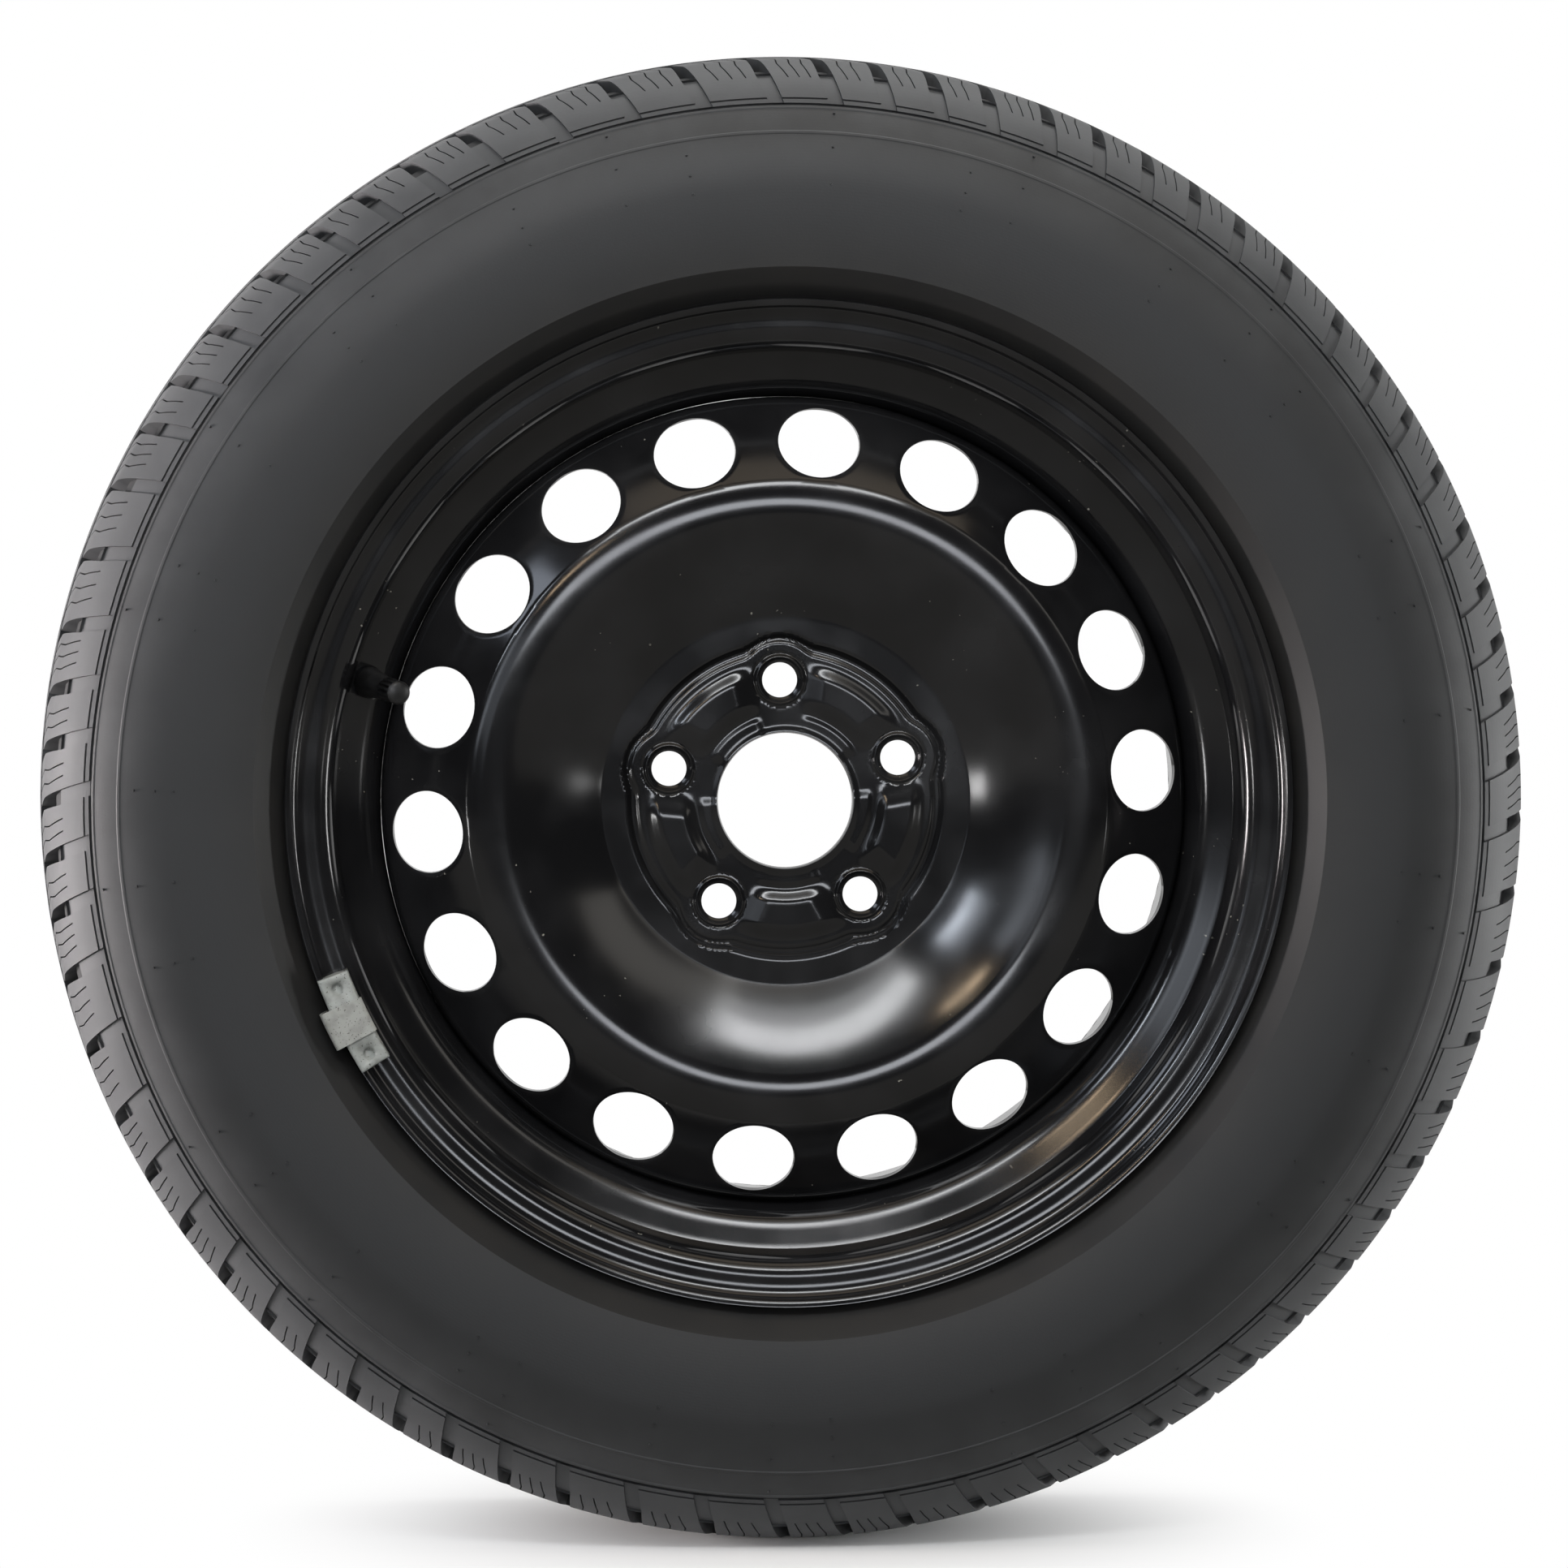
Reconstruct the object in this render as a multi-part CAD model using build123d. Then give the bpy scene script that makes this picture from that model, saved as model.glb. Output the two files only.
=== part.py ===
from build123d import *
import math
import os

# Steel car wheel with a mounted winter tyre, a snap-in valve and a clip-on balance weight.
# The wheel spins about Y, its road-side face looks towards -Y, and +Z is up.
# The origin lies on the spin axis, midway between the two rim flanges.
# Sections are drawn as (radius, outward), where outward runs along -Y.
# Places round the wheel are clock angles: 0 at the top, 90 at the right, seen from outside.
# All lengths are in millimetres and all angles in degrees.

# Rim: drop-centre rim, 5.5 J x 15, with a safety hump beside each bead seat
RIM_WIDTH = 139.7
RIM_THICKNESS = 2.6
BEAD_SEAT_DIAMETER = 380.2
BEAD_SEAT_WIDTH = 19.4
BEAD_SEAT_TAPER = 5.0
BEAD_CORNER_RADIUS = 6.5
FLANGE_HEIGHT = 17.3
FLANGE_RADIUS = 9.5
FLANGE_TURN = 110.0
FLANGE_LIP = 0.8
HUMP_HEIGHT = 1.5
HUMP_LENGTH = 4.0
HUMP_RADIUS = 3.0
HUMP_FOOT_RADIUS = 6.0
WELL_DIAMETER = 340.0
WELL_OUTER_EDGE = 38.5
WELL_INNER_EDGE = 2.0
WELL_OUTER_RADIUS = 5.0
WELL_INNER_RADIUS = 25.0

# Disc: pressed from one sheet, with a hub face, a bowl, a crest and a vented skirt
DISC_THICKNESS = 3.5
WHEEL_OFFSET = 40.0
CENTRE_BORE_DIAMETER = 57.1
BOLT_CIRCLE_DIAMETER = 100.0
BOLT_COUNT = 5
BOLT_HOLE_DIAMETER = 14.5
BOLT_FIRST_CLOCK = 357.4
PUNCH_LENGTH = 20.0
BALL_SEAT_RADIUS = 13.0
BALL_SEAT_DIAMETER = 20.0
SEAT_BOSS_DIAMETER = 24.0
SEAT_BOSS_HEIGHT = 2.0
PAD_DIAMETER = 125.0
PAD_STEP = 2.7
PAD_STEP_RUN = 3.5
PAD_STEP_RADIUS = 3.0
LOBE_DIAMETER = 35.0
LOBE_RIM = 2.0
EMBOSS_HEIGHT = 2.0
EMBOSS_WIDTH = 20.0
EMBOSS_ARC = 20.0
EMBOSS_DRAFT = 35.0
BOWL_DIAMETER = 158.6
BOWL_RISE = 0.4
BOWL_RADIUS = 38.0
BOWL_SLOPE = 35.0
CREST_RADIUS = 44.0
CREST_SLOPE = 18.0
CREST_EDGE_DIAMETER = 265.6
CREST_EDGE_RADIUS = 6.0
VENT_COUNT = 18
VENT_DIAMETER = 34.0
VENT_CIRCLE_DIAMETER = 297.4
VENT_OUTWARD = 51.0
VENT_SLOPE = 33.0
VENT_FIRST_CLOCK = 5.25
SKIRT_RADIUS = 8.0
SKIRT_END = 10.0
SKIRT_FIT = 0.15

# Weld seams between the disc's skirt and the rim's well
WELD_COUNT = 4
WELD_ARC = 52.0
WELD_LEG = 3.5
WELD_FIRST_CLOCK = 22.0
WELD_FIT = 0.15

# Tyre: 185/65 R15, radial, tubeless
TYRE_DIAMETER = 618.0
SECTION_WIDTH = 189.0
WIDEST_DIAMETER = 502.0
CROWN_ARC_RADIUS = 480.0
TREAD_WIDTH = 116.0
SHOULDER_DIAMETER = 572.0
SHOULDER_WIDTH = 164.0
SHOULDER_BULGE = 3.0
PROTECTOR_DIAMETER = 437.0
PROTECTOR_WIDTH = 179.0
PROTECTOR_STEP = 1.2
BEAD_WIDTH = 18.6
BEAD_GAP = 0.15
BEAD_HEEL_RADIUS = 7.5
BEAD_WRAP = 50.0
BEAD_BACK_DIAMETER = 406.0
BEAD_BACK_WIDTH = 112.0
LINER_LOW_DIAMETER = 450.0
LINER_LOW_WIDTH = 169.0
LINER_SIDE_DIAMETER = 524.0
LINER_SIDE_WIDTH = 182.0
LINER_SHOULDER_DIAMETER = 577.0
LINER_SHOULDER_WIDTH = 142.0
LINER_CROWN_DIAMETER = 584.0
LINER_RADIUS = 25.0

# Tread: four rings of groove, slanted side grooves and inner slots
GROOVE_DEPTH = 7.0
GROOVE_DRAFT = 8.0
INNER_GROOVE_WIDTH = 8.0
INNER_GROOVE_PLACE = 14.5
OUTER_GROOVE_WIDTH = 6.5
OUTER_GROOVE_PLACE = 40.0
PITCH_WORD = "SSSMSSSSMLMSMMMSSMMLLLLMMMLMSSMMLLMM" + "LLLMMSSSSMMMMLLMSSSSMLLMSMLMSSMLLLLM"
PITCH_LENGTHS = {"S": 0.885, "M": 1.0, "L": 1.18}
PITCH_FIRST_CLOCK = 2.2
SIDE_GROOVE_WIDTH = 5.5
SIDE_GROOVE_FLOOR = 5.5
SIDE_GROOVE_SLANT = 17.0
SIDE_GROOVE_BEND = 66.0
SIDE_CHANNEL_DEPTH = 2.0
SLOT_WIDTH = 3.2
SLOT_DEPTH = 5.0
SLOT_SLANT = 28.0
SHOULDER_LINE_WIDTH = 2.4
SHOULDER_LINE_DEPTH = 1.2
CUT_OVERRUN = 6.0

# Valve: snap-in rubber valve, square to the slope between bead seat and well
VALVE_CLOCK = 286.0
VALVE_ALONG_SLOPE = 10.3
VALVE_HOLE_DIAMETER = 11.3
VALVE_HOLE_FIT = 0.1
VALVE_FOOT_DIAMETER = 15.8
VALVE_FOOT_EDGE_DIAMETER = 12.6
VALVE_FOOT_HEIGHT = 4.5
VALVE_LIP_DIAMETER = 12.8
VALVE_LIP_HEIGHT = 2.2
VALVE_NECK_DIAMETER = 11.0
VALVE_NECK_HEIGHT = 9.0
VALVE_TOP_DIAMETER = 9.2
VALVE_BODY_LENGTH = 22.0
STEM_DIAMETER = 5.8
STEM_BOND = 0.05
STEM_THREAD_DIAMETER = 7.7
STEM_THREAD_LENGTH = 9.5
STEM_AIR_DIAMETER = 2.2
STEM_CHAMBER_DIAMETER = 4.0
STEM_CHAMBER_LENGTH = 13.5
STEM_MOUTH_DIAMETER = 5.2
STEM_MOUTH_LENGTH = 6.0

# Valve core
CORE_FIT = 0.08
CORE_HEAD_DIAMETER = 5.0
CORE_HEAD_LENGTH = 4.6
CORE_TUBE_DIAMETER = 3.6
CORE_TUBE_LENGTH = 9.0
CORE_BORE_DIAMETER = 2.7
CORE_GUIDE_DIAMETER = 1.8
CORE_GUIDE_LENGTH = 2.1
CORE_FLOOR = 0.8
CORE_FLOOR_DIAMETER = 1.3
RING_THICKNESS = 0.6
PIN_DIAMETER = 1.0
PIN_HEAD_DIAMETER = 1.5
PIN_HEAD_HEIGHT = 0.5
PIN_RECESS = 0.3
PIN_COLLAR_DIAMETER = 2.3
PIN_COLLAR_HEIGHT = 0.6
PIN_COLLAR_DROP = 1.2
PIN_FOOT_DIAMETER = 2.4
PIN_FOOT_HEIGHT = 0.6
SEAL_CUP_DIAMETER = 3.1
SEAL_CUP_HEIGHT = 1.3
SPRING_DIAMETER = 2.1
SPRING_WIRE = 0.26
SPRING_WIRE_SIDES = 6
SPRING_TURNS = 6
SPRING_FIT = 0.05

# Valve cap
CAP_DIAMETER = 9.8
CAP_FIT = 0.2
CAP_WALL_END = 2.0
CAP_SKIRT_GAP = 0.4
CAP_CHAMFER = 0.9
CAP_RIB_COUNT = 14
CAP_RIB_CUT_DIAMETER = 1.2
CAP_RIB_DEPTH = 0.35
CAP_RIB_TOP_MARGIN = 2.4
CAP_SEAL_THICKNESS = 1.3
CAP_SEAL_HOLE_DIAMETER = 3.4
CAP_SEAL_FIT = 0.05

# Balance weight and its clip on the outer flange
WEIGHT_CLOCK = 244.0
WEIGHT_ARC = 11.6
WEIGHT_FIT = 0.3
WEIGHT_LOW_RADIUS = 193.5
WEIGHT_TOP_RADIUS = 206.6
WEIGHT_THICKNESS = 4.6
WEIGHT_EDGE_RADIUS = 1.4
WEIGHT_RECESS_DIAMETER = 4.8
WEIGHT_RECESS_DEPTH = 1.8
WEIGHT_RECESS_RADIUS = 200.0
WEIGHT_RECESS_SPREAD = 4.2
CLIP_ARC = 4.4
CLIP_THICKNESS = 1.0
CLIP_FIT = 0.08
CLIP_CREST_RISE = 2.2
CLIP_HOOK_LENGTH = 4.6
CLIP_HOOK_SETBACK = 0.95
CLIP_TAIL = 3.0

# Values worked out from the driving dimensions
HALF_RIM = RIM_WIDTH / 2
SEAT_RADIUS = BEAD_SEAT_DIAMETER / 2
FLANGE_TOP = SEAT_RADIUS + FLANGE_HEIGHT
FLANGE_CENTRE = (FLANGE_TOP - FLANGE_RADIUS, HALF_RIM + FLANGE_RADIUS)
SEAT_END = HALF_RIM - BEAD_SEAT_WIDTH
SEAT_END_RADIUS = SEAT_RADIUS - BEAD_SEAT_WIDTH * math.tan(math.radians(BEAD_SEAT_TAPER))
HUMP_TOP = (SEAT_END_RADIUS + HUMP_HEIGHT, SEAT_END - HUMP_LENGTH)
WELL_RADIUS = WELL_DIAMETER / 2
WELL_AIR_RADIUS = WELL_RADIUS - RIM_THICKNESS
HUB_FRONT = WHEEL_OFFSET + DISC_THICKNESS
TYRE_RADIUS = TYRE_DIAMETER / 2
HALF_TREAD = TREAD_WIDTH / 2
SHOULDER = (SHOULDER_DIAMETER / 2, SHOULDER_WIDTH / 2)
STEM_END = VALVE_BODY_LENGTH + STEM_THREAD_LENGTH
CORE_SEAT = STEM_END - STEM_MOUTH_LENGTH
CAP_CEILING = STEM_END + CAP_SEAL_THICKNESS + 2 * CAP_SEAL_FIT
FLANGE_TIP = HALF_RIM + FLANGE_RADIUS + FLANGE_RADIUS * math.sin(math.radians(FLANGE_TURN - 90)) + FLANGE_LIP

SECTION_PLANE = Plane(origin=(0, 0, 0), x_dir=(1, 0, 0), z_dir=(0, 0, -1))
HUB_PLANE = Plane(origin=(0, -HUB_FRONT, 0), x_dir=(1, 0, 0), z_dir=(0, -1, 0))
CROWN = TYRE_RADIUS + CUT_OVERRUN


def at_clock(angle):
    """Turns a shape that lies at three o'clock to a clock angle."""
    return Rot(0, angle - 90, 0)


def turned(section):
    """Spins a (radius, outward) section right round the wheel's axis."""
    return revolve(SECTION_PLANE * section, Axis.Y)


def swept_arc(section, clock, arc):
    """Spins a section over an arc that is centred on a clock angle."""
    return at_clock(clock - arc / 2) * revolve(SECTION_PLANE * section, Axis.Y, arc)


def sheet(points, radii, thickness):
    """Section of a bent sheet: a rounded path, thickened on its right-hand side."""
    path = FilletPolyline(*points, radius=radii)
    return make_face(offset(path, amount=thickness, side=Side.RIGHT))


def closed_section(*points):
    """Section with straight sides."""
    return make_face(Polyline(*points, close=True))


def crown_radius(outward):
    """Radius of the tread's crown at a distance from the wheel's mid-plane."""
    return TYRE_RADIUS - CROWN_ARC_RADIUS + math.sqrt(CROWN_ARC_RADIUS**2 - outward**2)


def pitch_clocks():
    """Clock angles of the tread pitches, short, medium and long ones mixed."""
    lengths = [PITCH_LENGTHS[letter] for letter in PITCH_WORD]
    total = sum(lengths)
    clocks = []
    passed = 0.0
    for length in lengths:
        clocks.append(PITCH_FIRST_CLOCK + 360 * passed / total)
        passed += length
    return clocks


# Rim

def flange_points(side):
    """Tip of a flange's curl and the corner that the curl is rounded from."""
    reach = FLANGE_RADIUS * math.tan(math.radians(FLANGE_TURN / 2))
    corner = (FLANGE_CENTRE[0] + reach, HALF_RIM)
    lean = math.radians(FLANGE_TURN - 90)
    tip_radius = corner[0] - (reach + FLANGE_LIP) * math.sin(lean)
    tip_outward = corner[1] + (reach + FLANGE_LIP) * math.cos(lean)
    return (tip_radius, side * tip_outward), (corner[0], side * corner[1])


def rim_half(side):
    """Flange, bead seat and hump of one side, from the tip inwards, with their radii."""
    tip, corner = flange_points(side)
    points = [tip, corner, (SEAT_RADIUS, side * HALF_RIM)]
    points.append((SEAT_END_RADIUS, side * SEAT_END))
    points.append((HUMP_TOP[0], side * HUMP_TOP[1]))
    return points


def make_rim():
    """Rolled rim with both flanges, the offset well and the valve hole."""
    well = [(WELL_RADIUS, WELL_OUTER_EDGE), (WELL_RADIUS, WELL_INNER_EDGE)]
    points = rim_half(1) + well + rim_half(-1)[::-1]
    outer_radii = [FLANGE_RADIUS, BEAD_CORNER_RADIUS, HUMP_FOOT_RADIUS, HUMP_RADIUS]
    well_radii = [WELL_OUTER_RADIUS, WELL_INNER_RADIUS]
    radii = outer_radii + well_radii + outer_radii[::-1]
    rim = turned(sheet(points, radii, RIM_THICKNESS))
    hole = Cylinder(VALVE_HOLE_DIAMETER / 2, PUNCH_LENGTH)
    return rim - valve_place() * hole


def slope_direction():
    """Unit (radius, outward) direction down the slope from the outer hump to the well."""
    fall = HUMP_TOP[0] - WELL_RADIUS
    run = HUMP_TOP[1] - WELL_OUTER_EDGE
    length = math.hypot(fall, run)
    return -fall / length, -run / length


def valve_place():
    """Place of the valve: its origin on the rim's air side, its Z out of the hole."""
    along = slope_direction()
    square = (along[1], -along[0])
    radius = HUMP_TOP[0] + VALVE_ALONG_SLOPE * along[0] + RIM_THICKNESS * square[0]
    outward = HUMP_TOP[1] + VALVE_ALONG_SLOPE * along[1] + RIM_THICKNESS * square[1]
    plane = Plane(origin=(radius, -outward, 0), x_dir=(0, 0, 1), z_dir=(square[0], -square[1], 0))
    return at_clock(VALVE_CLOCK) * plane.location


# Disc

def disc_points():
    """Front line of the disc from the centre bore to the end of the skirt."""
    pad = PAD_DIAMETER / 2
    floor = HUB_FRONT + PAD_STEP
    bowl = (BOWL_DIAMETER / 2, floor + BOWL_RISE)
    bowl_slope = math.tan(math.radians(BOWL_SLOPE))
    vent_slope = math.tan(math.radians(VENT_SLOPE))
    crest_slope = math.tan(math.radians(CREST_SLOPE))
    vent_radius = VENT_CIRCLE_DIAMETER / 2
    edge_radius = CREST_EDGE_DIAMETER / 2
    edge = (edge_radius, VENT_OUTWARD + vent_slope * (vent_radius - edge_radius))
    crest_radius = edge[1] + crest_slope * edge[0] - bowl[1] + bowl_slope * bowl[0]
    crest_radius /= bowl_slope + crest_slope
    crest = (crest_radius, bowl[1] + bowl_slope * (crest_radius - bowl[0]))
    skirt_radius = WELL_AIR_RADIUS - SKIRT_FIT
    skirt = (skirt_radius, VENT_OUTWARD - vent_slope * (skirt_radius - vent_radius))
    start = (CENTRE_BORE_DIAMETER / 2, HUB_FRONT)
    end = (skirt_radius, SKIRT_END)
    hub = [start, (pad, HUB_FRONT), (pad + PAD_STEP_RUN, floor)]
    return hub + [bowl, crest, edge, skirt, end]


def bolt_clocks():
    """Clock angles of the bolt holes."""
    return [BOLT_FIRST_CLOCK + i * 360 / BOLT_COUNT for i in range(BOLT_COUNT)]


def hub_place(clock, lift=0.0):
    """Place on the hub face at the bolt circle, with Z pointing outwards."""
    angle = math.radians(90 - clock)
    radius = BOLT_CIRCLE_DIAMETER / 2
    return HUB_PLANE.location * Pos(radius * math.cos(angle), radius * math.sin(angle), lift)


def rising(radius, height):
    """Cylinder that stands on its own origin."""
    return Pos(0, 0, height / 2) * Cylinder(radius, height)


def emboss_arc(width, clock):
    """Curved slot outline along the bolt circle, centred on a clock angle."""
    arc = CenterArc((0, 0), BOLT_CIRCLE_DIAMETER / 2, 90 - clock - EMBOSS_ARC / 2, EMBOSS_ARC)
    return SlotArc(arc, width)


def add_embossing(disc):
    """Presses a raised arc between each two bolt holes, hollow from behind."""
    narrow = EMBOSS_WIDTH - DISC_THICKNESS
    for clock in bolt_clocks():
        middle = clock + 180 / BOLT_COUNT
        raised = extrude(emboss_arc(EMBOSS_WIDTH, middle), EMBOSS_HEIGHT, taper=EMBOSS_DRAFT)
        hollow = extrude(emboss_arc(narrow, middle), EMBOSS_HEIGHT, taper=EMBOSS_DRAFT)
        disc += HUB_PLANE.location * raised
        disc -= HUB_PLANE.location * Pos(0, 0, -DISC_THICKNESS) * hollow
    return disc


def add_bolt_holes(disc):
    """Adds each bolt hole's lobe, boss, ball seat and through hole."""
    lobe = LOBE_DIAMETER / 2
    seat_rise = math.sqrt(BALL_SEAT_RADIUS**2 - (BALL_SEAT_DIAMETER / 2) ** 2)
    for clock in bolt_clocks():
        place = hub_place(clock)
        back = hub_place(clock, -DISC_THICKNESS)
        disc += back * rising(lobe + LOBE_RIM, DISC_THICKNESS)
        disc -= place * rising(lobe, PAD_STEP + BOWL_RISE + DISC_THICKNESS)
        disc += place * rising(SEAT_BOSS_DIAMETER / 2, SEAT_BOSS_HEIGHT)
        disc -= hub_place(clock, SEAT_BOSS_HEIGHT + seat_rise) * Sphere(BALL_SEAT_RADIUS)
        disc -= place * Cylinder(BOLT_HOLE_DIAMETER / 2, PUNCH_LENGTH)
    return disc


def vent_cutters():
    """Round punches, square to the sloping wall of the disc."""
    slope = math.radians(VENT_SLOPE)
    origin = (VENT_CIRCLE_DIAMETER / 2, -VENT_OUTWARD, 0)
    plane = Plane(origin=origin, x_dir=(0, 0, 1), z_dir=(math.sin(slope), -math.cos(slope), 0))
    punch = plane.location * Cylinder(VENT_DIAMETER / 2, PUNCH_LENGTH)
    clocks = [VENT_FIRST_CLOCK + i * 360 / VENT_COUNT for i in range(VENT_COUNT)]
    return [at_clock(clock) * punch for clock in clocks]


def make_disc():
    """Pressed disc with its embossed hub face, bolt holes and vents."""
    radii = [PAD_STEP_RADIUS, PAD_STEP_RADIUS, BOWL_RADIUS]
    radii += [CREST_RADIUS, CREST_EDGE_RADIUS, SKIRT_RADIUS]
    disc = turned(sheet(disc_points(), radii, DISC_THICKNESS))
    disc = add_embossing(disc)
    disc = add_bolt_holes(disc)
    return disc - vent_cutters()


def make_welds():
    """Fillet seams in the corner between the skirt's end and the rim's well."""
    root = WELL_AIR_RADIUS - WELD_FIT
    start = SKIRT_END - WELD_FIT
    section = closed_section((root, start), (root - WELD_LEG, start), (root, start - WELD_LEG))
    clocks = [WELD_FIRST_CLOCK + i * 360 / WELD_COUNT for i in range(WELD_COUNT)]
    return [swept_arc(section, clock, WELD_ARC) for clock in clocks]


# Tyre

def arc_point(start, end, bulge):
    """Point that stands off the middle of a chord, to its outer side."""
    run = (end[0] - start[0], end[1] - start[1])
    length = math.hypot(*run)
    middle = ((start[0] + end[0]) / 2, (start[1] + end[1]) / 2)
    return middle[0] + bulge * run[1] / length, middle[1] - bulge * run[0] / length


def bead_lines():
    """Bead from the flange's curl down to the heel, along the seat and to the toe."""
    wrap = math.radians(BEAD_WRAP)
    curl = FLANGE_RADIUS + BEAD_GAP
    face = HALF_RIM - BEAD_GAP
    leave = (FLANGE_CENTRE[0] + curl * math.sin(wrap), FLANGE_CENTRE[1] - curl * math.cos(wrap))
    half_wrap = (
        FLANGE_CENTRE[0] + curl * math.sin(wrap / 2),
        FLANGE_CENTRE[1] - curl * math.cos(wrap / 2),
    )
    foot = (FLANGE_CENTRE[0], face)
    heel = (SEAT_RADIUS + BEAD_GAP, face)
    fall = BEAD_WIDTH * math.tan(math.radians(BEAD_SEAT_TAPER))
    toe = (heel[0] - fall, face - BEAD_WIDTH)
    curl_arc = ThreePointArc(leave, half_wrap, foot)
    base = FilletPolyline(foot, heel, toe, radius=BEAD_HEEL_RADIUS)
    return leave, toe, [curl_arc, base]


def tyre_half_section():
    """Outer half of the tyre's section, from its mid-plane outwards."""
    crown = (TYRE_RADIUS, 0)
    crown_edge = (crown_radius(HALF_TREAD), HALF_TREAD)
    crown_middle = (crown_radius(HALF_TREAD / 2), HALF_TREAD / 2)
    widest = (WIDEST_DIAMETER / 2, SECTION_WIDTH / 2)
    protector = (PROTECTOR_DIAMETER / 2 + PROTECTOR_STEP, PROTECTOR_WIDTH / 2 + PROTECTOR_STEP)
    band = (PROTECTOR_DIAMETER / 2, PROTECTOR_WIDTH / 2)
    leave, toe, bead = bead_lines()
    liner = FilletPolyline(
        toe,
        (BEAD_BACK_DIAMETER / 2, BEAD_BACK_WIDTH / 2),
        (LINER_LOW_DIAMETER / 2, LINER_LOW_WIDTH / 2),
        (LINER_SIDE_DIAMETER / 2, LINER_SIDE_WIDTH / 2),
        (LINER_SHOULDER_DIAMETER / 2, LINER_SHOULDER_WIDTH / 2),
        (LINER_CROWN_DIAMETER / 2, 0),
        radius=LINER_RADIUS,
    )
    lines = [
        ThreePointArc(crown, crown_middle, crown_edge),
        ThreePointArc(crown_edge, arc_point(crown_edge, SHOULDER, SHOULDER_BULGE), SHOULDER),
        TangentArc(widest, SHOULDER, tangent=(1, 0)),
        TangentArc(widest, protector, tangent=(-1, 0)),
        Line(protector, band),
        Line(band, leave),
        *bead,
        liner,
        Line((LINER_CROWN_DIAMETER / 2, 0), crown),
    ]
    return make_face(lines)


def ring_groove(outward, width):
    """Groove right round the crown, with sides that open outwards."""
    crown = crown_radius(outward)
    floor = width / 2 - GROOVE_DEPTH * math.tan(math.radians(GROOVE_DRAFT))
    section = closed_section(
        (crown - GROOVE_DEPTH, outward - floor),
        (CROWN, outward - width / 2),
        (CROWN, outward + width / 2),
        (crown - GROOVE_DEPTH, outward + floor),
    )
    return turned(section)


def shoulder_line():
    """Thin groove between the shoulder blocks and the sidewall."""
    radius, outward = SHOULDER
    half = SHOULDER_LINE_WIDTH / 2
    deep = outward - SHOULDER_LINE_DEPTH
    proud = outward + SHOULDER_LINE_DEPTH
    return turned(closed_section((radius, deep), (radius - half, proud), (radius + half, proud)))


def slanted(slab, outward, slant):
    """Leans a groove cutter about the radius through its middle."""
    return Pos(0, -outward, 0) * Rot(slant, 0, 0) * Pos(0, outward, 0) * slab


def side_groove():
    """Groove from the outer ring groove over the shoulder, at three o'clock."""
    start = OUTER_GROOVE_PLACE
    floor = crown_radius(start) - SIDE_GROOVE_FLOOR
    end_radius = SHOULDER[0] + SHOULDER_LINE_WIDTH / 2
    section = closed_section(
        (floor, start),
        (floor, SIDE_GROOVE_BEND),
        (end_radius, SHOULDER[1] - SIDE_CHANNEL_DEPTH),
        (end_radius, SHOULDER[1] + CUT_OVERRUN),
        (CROWN, SHOULDER[1] + CUT_OVERRUN),
        (CROWN, start),
    )
    slab = extrude(SECTION_PLANE * section, SIDE_GROOVE_WIDTH / 2, both=True)
    return slanted(slab, (start + SHOULDER[1]) / 2, SIDE_GROOVE_SLANT)


def inner_slot():
    """Slot across the blocks between the inner and outer ring grooves."""
    start = INNER_GROOVE_PLACE
    end = OUTER_GROOVE_PLACE
    floor = crown_radius(end) - SLOT_DEPTH
    section = closed_section((floor, start), (CROWN, start), (CROWN, end), (floor, end))
    slab = extrude(SECTION_PLANE * section, SLOT_WIDTH / 2, both=True)
    return slanted(slab, (start + end) / 2, SLOT_SLANT)


def make_tyre():
    """Tyre with its beads, cavity, ring grooves and tread blocks."""
    half = tyre_half_section()
    tyre = turned(half + mirror(half, Plane.XZ))
    cuts = []
    for place, width in (
        (INNER_GROOVE_PLACE, INNER_GROOVE_WIDTH),
        (OUTER_GROOVE_PLACE, OUTER_GROOVE_WIDTH),
    ):
        cuts.append(ring_groove(place, width))
        cuts.append(ring_groove(-place, width))
    line = shoulder_line()
    cuts.append(line)
    cuts.append(mirror(line, Plane.XZ))
    tyre -= cuts
    cutters = [side_groove(), inner_slot()]
    cutters += [mirror(cutter, Plane.XZ) for cutter in cutters]
    return tyre - [at_clock(clock) * cutter for clock in pitch_clocks() for cutter in cutters]


# Valve

def spun(*points):
    """Solid of revolution about Z from (radius, height) points."""
    profile = make_face(Polyline(*points, close=True))
    return revolve(Plane.XZ * profile, Axis.Z)


def make_valve_body():
    """Rubber body: foot inside the tyre, groove in the hole, tapering neck outside."""
    bore = STEM_DIAMETER / 2
    under = -RIM_THICKNESS - VALVE_HOLE_FIT
    groove = VALVE_HOLE_DIAMETER / 2 - VALVE_HOLE_FIT
    return spun(
        (bore, under - VALVE_FOOT_HEIGHT),
        (VALVE_FOOT_EDGE_DIAMETER / 2, under - VALVE_FOOT_HEIGHT),
        (VALVE_FOOT_DIAMETER / 2, under - VALVE_FOOT_HEIGHT / 2),
        (VALVE_FOOT_DIAMETER / 2, under),
        (groove, under),
        (groove, VALVE_HOLE_FIT),
        (VALVE_LIP_DIAMETER / 2, VALVE_HOLE_FIT),
        (VALVE_LIP_DIAMETER / 2, VALVE_LIP_HEIGHT),
        (VALVE_NECK_DIAMETER / 2, VALVE_NECK_HEIGHT),
        (VALVE_TOP_DIAMETER / 2, VALVE_BODY_LENGTH),
        (bore, VALVE_BODY_LENGTH),
    )


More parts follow.
